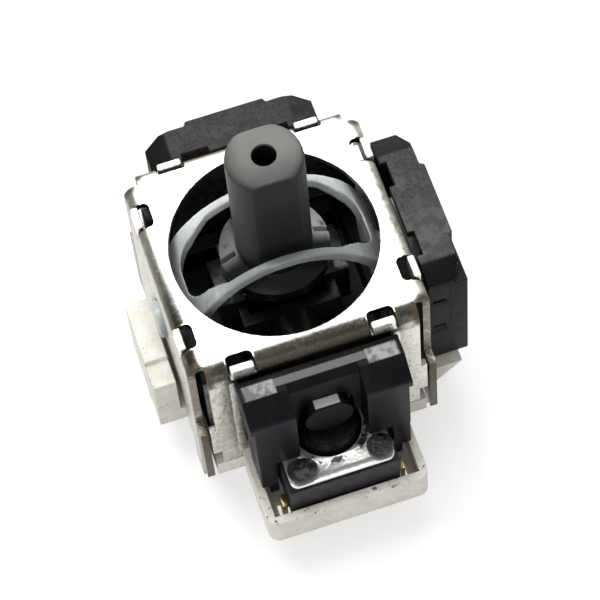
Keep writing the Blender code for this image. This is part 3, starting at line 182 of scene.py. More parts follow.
# Moulded base and front tray: cream plastic, injection moulded in one piece. Its edges have picked
# up brown dirt in fine specks, and its faces are faintly cloudy.
MOULD_EDGE = 0.00012
MERGE_DISTANCE = 0.0000008
FLAT_ANGLE = 1.2
EDGE_ANGLE = 28.0
CREAM_TONES = ((0.74, 0.715, 0.64), (0.86, 0.845, 0.785))
DIRT_COLOR = (0.13, 0.08, 0.045)
STAIN_COLOR = (0.50, 0.46, 0.38)
BLOCK_COLOR = (0.50, 0.50, 0.44)
TRAY_RIM = (0.00200, 0.00230)
TRAY_FOOT = 0.00006
BLOCK_SIDE = -0.00792
BLOCK_TOP = 0.0043
FACE_DIRT = 0.22


def new_group(name, sockets_in, sockets_out):
    """An empty shader node group with its inputs and outputs."""
    group = bpy.data.node_groups.new(name, "ShaderNodeTree")
    for label, kind, value in sockets_in:
        socket = group.interface.new_socket(name=label, in_out="INPUT", socket_type=kind)
        socket.default_value = value
    for label, kind in sockets_out:
        group.interface.new_socket(name=label, in_out="OUTPUT", socket_type=kind)
    return group, add_node(group, "NodeGroupInput"), add_node(group, "NodeGroupOutput")


def noise(tree, scale, detail=3.0, roughness=0.55):
    place = add_node(tree, "ShaderNodeTexCoord")
    settings = {"Vector": place.outputs["Object"], "Scale": scale, "Detail": detail, "Roughness": roughness}
    return add_node(tree, "ShaderNodeTexNoise", settings).outputs["Fac"]


def share(tree, value, low, high):
    """Maps a value from low..high to 0..1, clamped and eased. It falls where low is above high."""
    levels = {"Value": value, "From Min": low, "From Max": high}
    return add_node(tree, "ShaderNodeMapRange", levels, interpolation_type="SMOOTHSTEP").outputs["Result"]


def clouds(tree, scale, detail, roughness, low, high):
    """Noise between two levels, as a mask from 0 to 1."""
    return share(tree, noise(tree, scale, detail, roughness), low, high)


def place_of(tree):
    """The shading point's own X, Y and Z, in metres, on the piece at rest."""
    place = add_node(tree, "ShaderNodeTexCoord")
    split = add_node(tree, "ShaderNodeSeparateXYZ", {0: place.outputs["Object"]})
    return [split.outputs[axis] for axis in range(3)]


def larger(tree, first, *others):
    for other in others:
        first = combine(tree, first, other, "MAXIMUM")
    return first


def times(tree, first, *others):
    for other in others:
        first = combine(tree, first, other, "MULTIPLY")
    return first


def within(tree, value, low, high, soft):
    """1 where a value lies between two levels, easing to 0 over a soft edge outside them."""
    return times(tree, share(tree, value, low - soft, low), share(tree, value, high + soft, high))


def paint(material, mask, color):
    """Lays a second colour over a material's own where the mask is 1."""
    tree = material.node_tree
    target = tree.nodes["Principled BSDF"].inputs["Base Color"]
    below = target.links[0].from_socket
    mix = add_node(tree, "ShaderNodeMix", {0: mask, 6: below, 7: (*color, 1.0)}, data_type="RGBA")
    tree.links.new(mix.outputs[2], target)


def build_mottle():
    """Cloudy colour between two tones, with fine grain on top, and a height for bump."""
    sockets_in = [
        ("Tone A", "NodeSocketColor", (0.5, 0.5, 0.5, 1.0)),
        ("Tone B", "NodeSocketColor", (0.6, 0.6, 0.6, 1.0)),
        ("Cloud Scale", "NodeSocketFloat", 900.0),
        ("Grain Scale", "NodeSocketFloat", 6000.0),
        ("Grain Share", "NodeSocketFloat", 0.35)]
    sockets_out = [("Color", "NodeSocketColor"), ("Height", "NodeSocketFloat")]
    group, given, out = new_group("mottle", sockets_in, sockets_out)
    cloud = share(group, noise(group, given.outputs["Cloud Scale"]), 0.36, 0.64)
    grain = share(group, noise(group, given.outputs["Grain Scale"], 2.0), 0.34, 0.66)
    mix = add_node(group, "ShaderNodeMix", {0: given.outputs["Grain Share"], 2: cloud, 3: grain})
    tones = {0: mix.outputs[0], 6: given.outputs["Tone A"], 7: given.outputs["Tone B"]}
    tone = add_node(group, "ShaderNodeMix", tones, data_type="RGBA")
    group.links.new(tone.outputs[2], out.inputs["Color"])
    group.links.new(grain, out.inputs["Height"])
    return group


mottle = build_mottle()


def finish_material(name, tones, cloud=900.0, grain=6000.0, grain_share=0.35, roughness=0.5, metallic=0.0,
                    bump=0.000006, specular=0.5):
    """A Principled material with mottled colour and a fine grain in relief."""
    material = bpy.data.materials.new(name)
    material.use_nodes = True
    tree = material.node_tree
    shader = tree.nodes["Principled BSDF"]
    shader.inputs["Metallic"].default_value = metallic
    shader.inputs["Roughness"].default_value = roughness
    shader.inputs["Specular IOR Level"].default_value = specular
    base = add_node(tree, "ShaderNodeGroup", node_tree=mottle)
    base.inputs["Tone A"].default_value = (*tones[0], 1.0)
    base.inputs["Tone B"].default_value = (*tones[1], 1.0)
    base.inputs["Cloud Scale"].default_value = cloud
    base.inputs["Grain Scale"].default_value = grain
    base.inputs["Grain Share"].default_value = grain_share
    tree.links.new(base.outputs["Color"], shader.inputs["Base Color"])
    height = {"Height": base.outputs["Height"], "Distance": bump, "Strength": 1.0}
    relief = add_node(tree, "ShaderNodeBump", height)
    tree.links.new(relief.outputs["Normal"], shader.inputs["Normal"])
    return material


def choose(piece):
    """Makes one piece the only one chosen, and the active one."""
    bpy.ops.object.select_all(action="DESELECT")
    bpy.context.view_layer.objects.active = piece
    piece.select_set(True)


def refine(node, name, body, material, edge, segments=2, angle=EDGE_ANGLE, shape=None, split=False,
           clamp=True):
    """The CAD solid as a finished surface: its mesh is copied and merged, its flats are made whole
    again, and its edges are rounded as the real tool leaves them. Where a notched flat would fold
    over when its edges are rounded, split cuts it into convex ones first."""
    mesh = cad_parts[node].data.copy()
    mesh.materials.clear()
    mesh.materials.append(material)
    piece = bpy.data.objects.new(name, mesh)
    scene.collection.objects.link(piece)
    choose(piece)
    bpy.ops.object.mode_set(mode="EDIT")
    bpy.ops.mesh.select_all(action="SELECT")
    bpy.ops.mesh.remove_doubles(threshold=MERGE_DISTANCE)
    bpy.ops.mesh.dissolve_limited(angle_limit=math.radians(FLAT_ANGLE))
    if split:
        bpy.ops.mesh.select_all(action="SELECT")
        bpy.ops.mesh.vert_connect_concave()
    bpy.ops.object.mode_set(mode="OBJECT")
    if shape:
        shape(piece)
    if edge:
        round_off = piece.modifiers.new("edge", "BEVEL")
        round_off.width = edge
        round_off.segments = segments
        round_off.limit_method = "ANGLE"
        round_off.angle_limit = math.radians(angle)
        round_off.use_clamp_overlap = clamp
        round_off.miter_outer = "MITER_SHARP"
        bpy.ops.object.modifier_apply(modifier="edge")
    bpy.ops.object.shade_smooth_by_angle(angle=math.radians(angle))
    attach(piece, body)
    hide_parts(node)
    return piece


cream = finish_material("cream_moulding", CREAM_TONES, cloud=700.0, grain=5000.0, grain_share=0.25,
                        roughness=0.42)
tree = cream.node_tree
x, y, z = place_of(tree)
rim = within(tree, z, *TRAY_RIM, 0.00014)
foot = share(tree, z, 0.00022, TRAY_FOOT)
block_edge = times(tree, share(tree, x, -0.00770, BLOCK_SIDE), share(tree, z, 0.0038, BLOCK_TOP))
edges = larger(tree, rim, foot, block_edge, FACE_DIRT)
fleck = clouds(tree, 3400.0, 4.0, 0.7, 0.58, 0.64)
patch = share(tree, noise(tree, 500.0, 1.0), 0.38, 0.54)
paint(cream, times(tree, fleck, patch, edges), DIRT_COLOR)
stain = share(tree, noise(tree, 380.0), 0.50, 0.72)
paint(cream, times(tree, stain, 0.30), STAIN_COLOR)
block = times(tree, share(tree, x, -0.00655, -0.00670), clouds(tree, 900.0, 4.0, 0.65, 0.30, 0.60))
paint(cream, times(tree, block, 0.35), BLOCK_COLOR)
base = refine("base_tray", "base", "housing", cream, MOULD_EDGE)
base_low, base_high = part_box("base_tray")
for point in base.data.vertices:
    point.co.x = max(point.co.x, base_low[0])

# Push switch: a charcoal moulding with brass pins, closed by a bright tin cover that four rivets of
# melted plastic hold down, with a black button over a steel snap dome.
RIVET_OFFSET = 0.00210
RIVET_DRIFT = (0.00020, -0.00010)
RIVET_RADIUS = 0.00067
RIVET_HEIGHT = 0.00034
RIVET_LIFT = 0.00030
RIVET_TURN = 1.7
LUMP_SIZE = 0.00028
LUMP_HEIGHT = 0.00024
HAND_ANGLE = 35.0
RIVET_ANGLE = 60.0
BUTTON_RING = (0.00200, 0.00222)
CHARCOAL_TONES = ((0.016, 0.017, 0.018), (0.042, 0.044, 0.045))
BLACK_TONES = ((0.002, 0.002, 0.003), (0.009, 0.009, 0.010))
BRIGHT_TONES = ((0.70, 0.69, 0.66), (0.90, 0.89, 0.86))
MIRROR_TONES = ((0.84, 0.83, 0.80), (0.95, 0.94, 0.92))
BRASS_TONES = ((0.45, 0.33, 0.14), (0.72, 0.58, 0.30))
MELTED_TONES = ((0.003, 0.0035, 0.0035), (0.070, 0.075, 0.075))
TARNISH_COLOR = (0.045, 0.052, 0.055)
COVER_SHADE_COLOR = (0.020, 0.020, 0.022)


def less(tree, first, second):
    return combine(tree, first, second, "SUBTRACT")


def apart(tree, first, second):
    """How far a point lies from a centre, from its two distances along the axes."""
    square = combine(tree, times(tree, first, first), times(tree, second, second), "ADD")
    return add_node(tree, "ShaderNodeMath", {0: square}, operation="SQRT").outputs[0]


charcoal = finish_material("charcoal_moulding", CHARCOAL_TONES, cloud=1500.0, grain=9000.0, grain_share=0.45,
                           roughness=0.55, bump=0.00001, specular=0.22)
black = finish_material("black_moulding", BLACK_TONES, cloud=1300.0, grain=7000.0, grain_share=0.3,
                        roughness=0.42, specular=0.05)
bright = finish_material("bright_tin", BRIGHT_TONES, cloud=1400.0, grain=6000.0, grain_share=0.4,
                         roughness=0.24, metallic=1.0)
mirror = finish_material("mirror_tin", MIRROR_TONES, cloud=900.0, grain=5000.0, grain_share=0.2,
                         roughness=0.28, metallic=0.7, bump=0.000003)
brass = finish_material("dull_brass", BRASS_TONES, cloud=1200.0, grain=7000.0, grain_share=0.3,
                        roughness=0.34, metallic=1.0)
cover_low, cover_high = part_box("switch_cover")
switch_y = (cover_low[1] + cover_high[1]) / 2
tree = mirror.node_tree
x, y, z = place_of(tree)
from_middle = less(tree, y, switch_y)
from_button = apart(tree, x, from_middle)
near_button = within(tree, from_button, *BUTTON_RING, 0.00022)
tarnish = clouds(tree, 1300.0, 5.0, 0.65, 0.48, 0.58)
paint(mirror, times(tree, tarnish, near_button), TARNISH_COLOR)
# Painted shade: the cover just behind the button is painted near black.
behind = times(tree, share(tree, from_middle, 0.0003, 0.0009), share(tree, from_button, 0.00245, 0.00215))
paint(mirror, times(tree, behind, 0.95), COVER_SHADE_COLOR)
refine("switch_body", "tact_body", "housing", charcoal, 0.00006)
refine("switch_cover", "tact_cover", "housing", mirror, 0.00006)
refine("switch_button", "tact_button", "button", black, 0.00008, 3)
refine("switch_dome", "tact_dome", "housing", bright, 0.0)
for number in range(1, 5):
    refine("switch_pin_%d" % number, "tact_pin_%d" % number, "housing", brass, 0.00005)


def settle(piece, body, material, angle=HAND_ANGLE):
    """Gives a hand-made piece its material and its place in the assembly."""
    choose(piece)
    bpy.ops.object.transform_apply(location=True, rotation=True, scale=True)
    piece.data.materials.clear()
    piece.data.materials.append(material)
    bpy.ops.object.shade_smooth_by_angle(angle=math.radians(angle))
    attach(piece, body)


def melt_rivet():
    """One melted rivet: a flattened ball, lumpy from the heated tool."""
    bpy.ops.object.select_all(action="DESELECT")
    bpy.ops.mesh.primitive_uv_sphere_add(segments=36, ring_count=18, radius=RIVET_RADIUS)
    rivet = bpy.context.active_object
    rivet.scale = (1.0, 1.0, RIVET_HEIGHT / RIVET_RADIUS)
    bpy.ops.object.transform_apply(location=False, rotation=False, scale=True)
    lumps = bpy.data.textures.new("lumps", "CLOUDS")
    lumps.noise_scale = LUMP_SIZE
    lumps.noise_depth = 2
    push = rivet.modifiers.new("lumps", "DISPLACE")
    push.texture = lumps
    push.texture_coords = "LOCAL"
    push.strength = LUMP_HEIGHT
    push.mid_level = 0.6
    bpy.ops.object.modifier_apply(modifier="lumps")
    return rivet


melted = finish_material("melted_plastic", MELTED_TONES, cloud=2600.0, grain=7000.0, grain_share=0.25,
                         roughness=0.24, bump=0.00002, specular=0.30)
first_rivet = melt_rivet()
for number, (side_x, side_y) in enumerate(((-1, -1), (1, -1), (-1, 1), (1, 1)), start=1):
    rivet = first_rivet.copy()
    rivet.data = first_rivet.data.copy()
    rivet.name = "rivet_%d" % number
    scene.collection.objects.link(rivet)
    rivet.rotation_euler = (0.0, 0.0, number * RIVET_TURN)
    rivet_x = side_x * RIVET_OFFSET + RIVET_DRIFT[0]
    rivet_y = switch_y + side_y * RIVET_OFFSET + RIVET_DRIFT[1]
    rivet.location = (rivet_x, rivet_y, cover_high[2] + RIVET_LIFT)
    settle(rivet, "housing", melted, RIVET_ANGLE)
bpy.data.objects.remove(first_rivet)

# Folded can: bright tin-plated steel, its walls cream-grey and mottled. The flat top and the tabs are painted
# nearly white as painted highlight, and the front wall is painted lighter toward the right as painted light.
# The folds, corners, holes and the walls' cut ends are painted dark brown as painted shade, darker on the
# front and left than on the rear and right. The opening's cut edge is grey-brown, and the walls have small
# dark spots.
CAN_TOP = 0.0111
CAN_HALF = 0.0065
TAB_PLACE = 0.00377
TAB_HALF = 0.00064
TAB_EDGE = 0.00010
TAB_INNER = 0.00605
TAB_LOW = 0.01015
HOLE_HALF = 0.000725
HOLE_INNER = 0.0055
HOLE_CORNER = 0.00030
HOLE_LOW = 0.0105
FIT = 0.00003
SHEET_EDGE = 0.00002
WORN_TIN_TONES = ((0.50, 0.49, 0.44), (0.70, 0.69, 0.63))
TOP_HIGHLIGHT_COLOR = (0.97, 0.965, 0.94)
ROLLED_SHADE_COLOR = (0.28, 0.27, 0.24)
LEFT_BEND_SHADE_COLOR = (0.150, 0.148, 0.125)
LEFT_FRONT_SHADE_COLOR = (0.085, 0.080, 0.062)
RIGHT_BEND_SHADE_COLOR = (0.30, 0.29, 0.26)
FRONT_BEND_SHADE_COLOR = (0.085, 0.080, 0.066)
FRONT_FOLD_SHADE_COLOR = (0.040, 0.038, 0.030)
LEFT_FOLD_SHADE_COLOR = (0.020, 0.018, 0.013)
LOWER_BEND_SHADE_COLOR = (0.075, 0.070, 0.057)
REAR_BEND_SHADE_COLOR = (0.22, 0.21, 0.17)
CORNER_SHADE_COLOR = (0.085, 0.068, 0.048)
LOW_CORNER_SHADE_COLOR = (0.110, 0.092, 0.068)
FRONT_WALL_LIGHT_COLOR = (0.86, 0.85, 0.79)
HOLE_SHADE_COLOR = (0.040, 0.032, 0.024)
TAB_HIGHLIGHT_COLOR = (0.93, 0.925, 0.90)
CUT_END_SHADE_COLOR = (0.060, 0.048, 0.034)
RIM_COLOR = (0.20, 0.18, 0.15)
SPOT_COLOR = (0.16, 0.12, 0.08)


def absolute(tree, value):
    return add_node(tree, "ShaderNodeMath", {0: value}, operation="ABSOLUTE").outputs[0]


def plus(tree, first, second):
    return combine(tree, first, second, "ADD")


def scaled(tree, mask, slope, start):
    """A mask that runs from start to start plus slope."""
    return plus(tree, times(tree, mask, slope), start)


def set_gloss(material, mask, plain, masked):
    """Roughness that changes from one value to another where the mask is 1."""
    tree = material.node_tree
    mix = add_node(tree, "ShaderNodeMix", {0: mask, 2: plain, 3: masked})
    tree.links.new(mix.outputs[0], tree.nodes["Principled BSDF"].inputs["Roughness"])


tin = finish_material("tin_plate_worn", WORN_TIN_TONES, cloud=1100.0, grain=5200.0, grain_share=0.45,
                      roughness=0.40, metallic=1.0, bump=0.000012)
tree = tin.node_tree
x, y, z = place_of(tree)
depth = less(tree, CAN_TOP, z)
ax, ay = absolute(tree, x), absolute(tree, y)
outward = larger(tree, ax, ay)
along = combine(tree, ax, ay, "MINIMUM")
from_tab = absolute(tree, less(tree, along, TAB_PLACE))
on_left = share(tree, x, -0.0054, -0.0059)
on_right = share(tree, x, 0.0054, 0.0059)
on_front = share(tree, y, -0.0054, -0.0058)
on_rear = share(tree, y, 0.0059, 0.0062)
cloud = clouds(tree, 1500.0, 4.0, 0.6, 0.20, 0.52)
grain = clouds(tree, 5200.0, 3.0, 0.7, 0.36, 0.62)
mottled_shade = plus(tree, plus(tree, times(tree, cloud, 0.35), times(tree, grain, 0.20)), 0.45)

# Painted highlight: the flat top is painted nearly white.
paint(tin, share(tree, depth, 0.00014, 0.00002), TOP_HIGHLIGHT_COLOR)
# Painted shade where the top starts to roll over into the walls.
rolled = times(tree, share(tree, depth, 0.00002, 0.00030), share(tree, outward, 0.0056, 0.0059))
paint(tin, times(tree, rolled, clouds(tree, 2200.0, 4.0, 0.65, 0.40, 0.62), 0.6), ROLLED_SHADE_COLOR)

# Painted shade on the folds and on a band of the front wall below its fold, darker on the front and left than
# on the rear and right, and mottled.
off_tab = less(tree, 1.0, within(tree, less(tree, along, TAB_PLACE), -HOLE_HALF, HOLE_HALF, 0.00010))
low_end = share(tree, depth, 0.00078, 0.00046)
bend = times(tree, share(tree, outward, 0.00532, 0.00584), low_end, off_tab)
narrow_bend = times(tree, share(tree, outward, 0.00586, 0.00616), off_tab,
                    share(tree, depth, 0.00066, 0.00034))
paint(tin, times(tree, narrow_bend, mottled_shade, on_left), LEFT_BEND_SHADE_COLOR)
front_half = times(tree, share(tree, y, 0.0010, -0.0040), share(tree, outward, 0.00572, 0.00606))
paint(tin, times(tree, front_half, low_end, off_tab, mottled_shade, on_left), LEFT_FRONT_SHADE_COLOR)
speckle = clouds(tree, 2600.0, 4.0, 0.7, 0.46, 0.58)
paint(tin, times(tree, narrow_bend, on_right, scaled(tree, speckle, 0.6, 0.25)), RIGHT_BEND_SHADE_COLOR)
paint(tin, times(tree, bend, mottled_shade, on_front), FRONT_BEND_SHADE_COLOR)
fold_top = times(tree, share(tree, outward, 0.00556, 0.00592), share(tree, depth, 0.00034, 0.00012),
                 scaled(tree, mottled_shade, 0.4, 0.6), off_tab)
paint(tin, times(tree, fold_top, on_front), FRONT_FOLD_SHADE_COLOR)
paint(tin, times(tree, fold_top, on_left, share(tree, y, 0.0030, -0.0040)), LEFT_FOLD_SHADE_COLOR)
lower_bend = within(tree, depth, 0.00030, 0.0011, 0.00022)
paint(tin, times(tree, lower_bend, on_front, share(tree, ax, 0.0050, 0.0044)), LOWER_BEND_SHADE_COLOR)
paint(tin, times(tree, narrow_bend, on_rear, cloud, 0.8), REAR_BEND_SHADE_COLOR)

# Painted shade in the corner slots between the walls.
corner = times(tree, share(tree, along, 0.00515, 0.00555), share(tree, outward, 0.0056, 0.0060),
               clouds(tree, 1700.0, 4.0, 0.6, 0.22, 0.46))
paint(tin, times(tree, corner, share(tree, depth, 0.0014, 0.0009), 0.92), CORNER_SHADE_COLOR)
low_corner = times(tree, corner, share(tree, ax, 0.00598, 0.00606), share(tree, depth, 0.0009, 0.0014))
paint(tin, times(tree, low_corner, 0.75), LOW_CORNER_SHADE_COLOR)
# Painted light: the front wall's face is painted lighter, more so toward the right.
front_wall = times(tree, share(tree, y, -0.00638, -0.00648), share(tree, ax, 0.00600, 0.00592),
                   share(tree, z, 0.0100, 0.0096))
toward_right = scaled(tree, share(tree, x, -0.001, 0.001), 0.45, 0.05)
paint(tin, times(tree, front_wall, toward_right), FRONT_WALL_LIGHT_COLOR)

# Painted shade inside the holes beside the tabs.
in_hole = times(tree, share(tree, from_tab, HOLE_HALF + 0.00009, HOLE_HALF + 0.00003),
                share(tree, outward, HOLE_INNER - 0.00009, HOLE_INNER - 0.00003),
                share(tree, depth, -0.00001, 0.00003), share(tree, z, 0.01034, 0.01040))
paint(tin, times(tree, in_hole, 0.97), HOLE_SHADE_COLOR)
# Painted highlight on the tabs.
on_tab = times(tree, share(tree, from_tab, TAB_HALF + 0.00003, TAB_HALF),
               share(tree, outward, 0.00600, 0.00606), share(tree, z, 0.0102, 0.0104))
paint(tin, times(tree, on_tab, 0.9), TAB_HIGHLIGHT_COLOR)
# Painted shade on the side walls' cut ends at the front, below the front wall.
cut_end = times(tree, share(tree, y, -0.00638, -0.00646), share(tree, ax, 0.00600, 0.00606),
                share(tree, z, 0.0054, 0.0050))
paint(tin, times(tree, cut_end, 0.85), CUT_END_SHADE_COLOR)
rim = times(tree, within(tree, apart(tree, x, y), 0.00548, 0.00553, 0.00005), share(tree, z, 0.0105, 0.0106))
paint(tin, times(tree, rim, clouds(tree, 900.0, 3.0, 0.6, 0.30, 0.60), 0.7), RIM_COLOR)
spots = times(tree, clouds(tree, 4200.0, 3.0, 0.7, 0.60, 0.66), share(tree, depth, 0.0001, 0.0003))
paint(tin, times(tree, spots, 0.6), SPOT_COLOR)
set_gloss(tin, bend, 0.36, 0.55)


def out_and_along(point):
    """A point's distance out from the can's middle, and its place along the can's side."""
    return max(abs(point.x), abs(point.y)), min(abs(point.x), abs(point.y))


def at_hole_corner(first, second):
    """Whether an edge is an upright inner corner of one of the eight holes."""
    upright = (first.xy - second.xy).length < 0.00001 and abs(first.z - second.z) > 0.00015
    far, near = out_and_along(first)
    at_side = abs(abs(near - TAB_PLACE) - HOLE_HALF) < FIT
    return upright and at_side and abs(far - HOLE_INNER) < FIT and first.z > HOLE_LOW


def at_tab_end(first, second):
    """Whether an edge bounds the free end of one of the eight tabs."""
    for point in (first, second):
        far, near = out_and_along(point)
        if far < TAB_INNER or abs(near - TAB_PLACE) > TAB_HALF + FIT or point.z < TAB_LOW:
            return False
    return max(first.z, second.z) > CAN_TOP + FIT


def round_edges(piece, wanted, width, segments, clamp):
    """Rounds the edges that a rule picks out, and no others."""
    bpy.context.tool_settings.mesh_select_mode = (False, True, False)
    bpy.ops.object.mode_set(mode="EDIT")
    bpy.ops.mesh.select_all(action="DESELECT")
    bpy.ops.object.mode_set(mode="OBJECT")
    points = piece.data.vertices
    for edge in piece.data.edges:
        edge.select = wanted(*(points[index].co for index in edge.vertices))
    bpy.ops.object.mode_set(mode="EDIT")
    bpy.ops.mesh.bevel(offset=width, segments=segments, affect="EDGES", clamp_overlap=clamp)
    bpy.ops.object.mode_set(mode="OBJECT")


def ease_holes(piece):
    """The punch leaves the holes' inner corners round, and the tabs' ends are rounded off."""
    round_edges(piece, at_hole_corner, HOLE_CORNER, 4, False)
    round_edges(piece, at_tab_end, TAB_EDGE, 4, False)


refine("shield_can", "can", "housing", tin, SHEET_EDGE, shape=ease_holes)

# The top sheet runs on close to the rear tabs and one right tab, and the front wall's edges are
# folded back beside the bracket. These are small flats of the can's own sheet.
LIP_INNER = HOLE_INNER - 0.00010
LIP_OUTER = 0.00587
LIP_LOW = CAN_TOP - 0.00018
LIP_HIGH = CAN_TOP + 0.00001
LIP_OVERLAP = 0.00004
WALL_EDGE_X = (0.00413, 0.00463)
WALL_EDGE_Y = (-CAN_HALF + 0.00001, -CAN_HALF + 0.00040)
WALL_EDGE_Z = (0.00150, 0.01003)
HIGHLIGHT_TIN_TONES = ((0.95, 0.945, 0.92), (0.98, 0.975, 0.95))

# The lips take a near-white copy of the tin, as painted highlight like the can's top.
highlight_tin = finish_material("tin_plate_highlight", HIGHLIGHT_TIN_TONES, cloud=1100.0, grain=5200.0, grain_share=0.3,
                            roughness=0.36, metallic=1.0, bump=0.000004)


def block_between(name, low, high, edge, segments, material):
    """A small block of the housing between two corners, with rounded edges."""
    bpy.ops.object.select_all(action="DESELECT")
    bpy.ops.mesh.primitive_cube_add(size=1.0, location=[(a + b) / 2 for a, b in zip(low, high)])
    block = bpy.context.active_object
    block.name = name
    block.scale = [b - a for a, b in zip(low, high)]
    bpy.ops.object.transform_apply(location=False, rotation=False, scale=True)
    bpy.ops.object.mode_set(mode="EDIT")
    bpy.ops.mesh.select_all(action="SELECT")
    bpy.ops.mesh.bevel(offset=edge, segments=segments, affect="EDGES")
    bpy.ops.object.mode_set(mode="OBJECT")
    settle(block, "housing", material)


for number, side in enumerate((-1, 1), start=1):
    low = (side * TAB_PLACE - HOLE_HALF - LIP_OVERLAP, LIP_INNER, LIP_LOW)
    high = (side * TAB_PLACE + HOLE_HALF + LIP_OVERLAP, LIP_OUTER, LIP_HIGH)
    block_between("rear_lip_%d" % number, low, high, SHEET_EDGE, 2, highlight_tin)
low = (LIP_INNER, TAB_PLACE - HOLE_HALF + 0.00010, LIP_LOW - 0.0001)
high = (LIP_OUTER + 0.00006, TAB_PLACE + HOLE_HALF - 0.00038, LIP_HIGH - 0.0001)
block_between("right_lip", low, high, SHEET_EDGE, 2, highlight_tin)
for number, side in enumerate((-1, 1), start=1):
    low_x, high_x = sorted(side * place for place in WALL_EDGE_X)
    low = (low_x, WALL_EDGE_Y[0], WALL_EDGE_Z[0])
    high = (high_x, WALL_EDGE_Y[1], WALL_EDGE_Z[1])
    block_between("front_wall_edge_%d" % number, low, high, SHEET_EDGE, 2, tin)

# Bracket in front of the can: near-black plastic. Its flat tops carry a light grey painted highlight, broken
# into spots, and so does the bridge's front edge over the rocker's arm. Its front face is painted a little
# lighter, as painted sheen.
BRACKET_TOP = 0.01016
TOWER_INNER = 0.00252
TOWER_HIGHLIGHT_Y = (-0.0078, -0.0071)
BRIDGE_HIGHLIGHT_Y = (-0.0075, -0.0071)
BRACKET_TONES = ((0.0025, 0.0025, 0.0035), (0.007, 0.0068, 0.009))
TOWER_HIGHLIGHT_COLOR = (0.37, 0.37, 0.372)
BRIDGE_HIGHLIGHT_COLOR = (0.185, 0.183, 0.192)
BRACKET_FRONT_SHEEN_COLOR = (0.013, 0.012, 0.0155)

painted_highlight = finish_material("painted_highlight_black", BRACKET_TONES, cloud=1200.0, grain=7000.0, grain_share=0.3,
                          roughness=0.40, specular=0.07)
tree = painted_highlight.node_tree
x, y, z = place_of(tree)
ax = absolute(tree, x)
flat_top = share(tree, z, 0.01008, BRACKET_TOP)
# Painted highlight on the towers' flat tops.
tower = times(tree, flat_top, share(tree, ax, 0.00240, TOWER_INNER), share(tree, ax, 0.0042, 0.0040),
              within(tree, y, *TOWER_HIGHLIGHT_Y, 0.00012))
tower_spots = clouds(tree, 1700.0, 4.0, 0.65, 0.38, 0.60)
paint(painted_highlight, times(tree, tower, scaled(tree, tower_spots, 0.6, 0.4)), TOWER_HIGHLIGHT_COLOR)
# Painted highlight along the bridge's front edge.
strip = times(tree, flat_top, share(tree, ax, 0.00250, 0.00244), within(tree, y, *BRIDGE_HIGHLIGHT_Y, 0.00005))
paint(painted_highlight, times(tree, strip, 0.8), BRIDGE_HIGHLIGHT_COLOR)
# Painted sheen: the front face is painted a little lighter.
paint(painted_highlight, times(tree, share(tree, y, -0.0090, -0.00912), 0.8), BRACKET_FRONT_SHEEN_COLOR)
refine("switch_bracket", "bracket", "housing", painted_highlight, 0.00010, 3)

# Inner frame, plunger and spring, deep inside the can. The frame is black, and painted grey where its corner
# posts show through the can's corner slots.
POST_PLACE = 0.00556
DEEP_TONES = ((0.006, 0.007, 0.008), (0.018, 0.019, 0.022))
POST_COLOR = (0.20, 0.20, 0.20)
PLUNGER_TONES = ((0.05, 0.055, 0.06), (0.09, 0.095, 0.10))
WIRE_TONES = ((0.50, 0.50, 0.50), (0.66, 0.66, 0.66))

deep = finish_material("deep_black", DEEP_TONES, cloud=900.0, grain=7000.0, grain_share=0.3, roughness=0.38,
                       specular=0.12)
tree = deep.node_tree
x, y, z = place_of(tree)
out_along = combine(tree, absolute(tree, x), absolute(tree, y), "MINIMUM")
post = share(tree, out_along, 0.00545, POST_PLACE)
paint(deep, times(tree, post, share(tree, noise(tree, 1500.0), 0.25, 0.55)), POST_COLOR)
shaded = finish_material("shaded_moulding", PLUNGER_TONES, cloud=500.0, grain=4000.0, grain_share=0.2,
                         roughness=0.4)
wire = finish_material("spring_wire", WIRE_TONES, cloud=2000.0, grain=9000.0, grain_share=0.3, roughness=0.25,
                       metallic=1.0)
refine("inner_frame", "frame", "housing", deep, 0.0001, split=True, clamp=False)
refine("spring_plunger", "plunger", "plunger", shaded, 0.0001)
refine("return_spring", "spring", "housing", wire, 0.0)

# Upper arch: a bow of translucent white plastic with soft edges, slotted for the stick. Its round
# journals turn in the can's walls.
ARCH_GRAIN = 0.0001
ARCH_EASE = 0.5
ARCH_PASSES = 7
ARCH_FILL = 0.000008
ARCH_ANGLE = 80.0
MILKY_GLOW = 0.30
MILKY_REACH = (0.0005, 0.0005, 0.0005)
MILKY_TONES = ((0.50, 0.53, 0.52), (0.63, 0.66, 0.645))
FRONT_BOW_SHADE_COLOR = (0.19, 0.205, 0.195)

milky = finish_material("milky_moulding", MILKY_TONES, cloud=500.0, grain=4000.0, grain_share=0.2,
                        roughness=0.34)
milky.node_tree.nodes["Principled BSDF"].inputs["Subsurface Weight"].default_value = MILKY_GLOW
milky.node_tree.nodes["Principled BSDF"].inputs["Subsurface Radius"].default_value = MILKY_REACH
tree = milky.node_tree
x, y, z = place_of(tree)
# Painted shade: the front bow is painted darker.
front_bow = times(tree, share(tree, y, 0.0004, -0.0016), share(tree, noise(tree, 420.0), 0.10, 0.55))
paint(milky, times(tree, front_bow, 0.85), FRONT_BOW_SHADE_COLOR)


def ease_all(piece):
    """Rounds the moulding all over: it is rebuilt as a fine even mesh, which is smoothed and then
    filled out a little."""
    piece.data.remesh_voxel_size = ARCH_GRAIN
    bpy.ops.object.voxel_remesh()
    ease = piece.modifiers.new("ease", "SMOOTH")
    ease.factor = ARCH_EASE
    ease.iterations = ARCH_PASSES
    bpy.ops.object.modifier_apply(modifier="ease")
    fill = piece.modifiers.new("fill", "DISPLACE")
    fill.strength = ARCH_FILL
    fill.mid_level = 0.0
    bpy.ops.object.modifier_apply(modifier="fill")


refine("upper_arch", "arch", "arch", milky, 0.0, angle=ARCH_ANGLE, shape=ease_all)

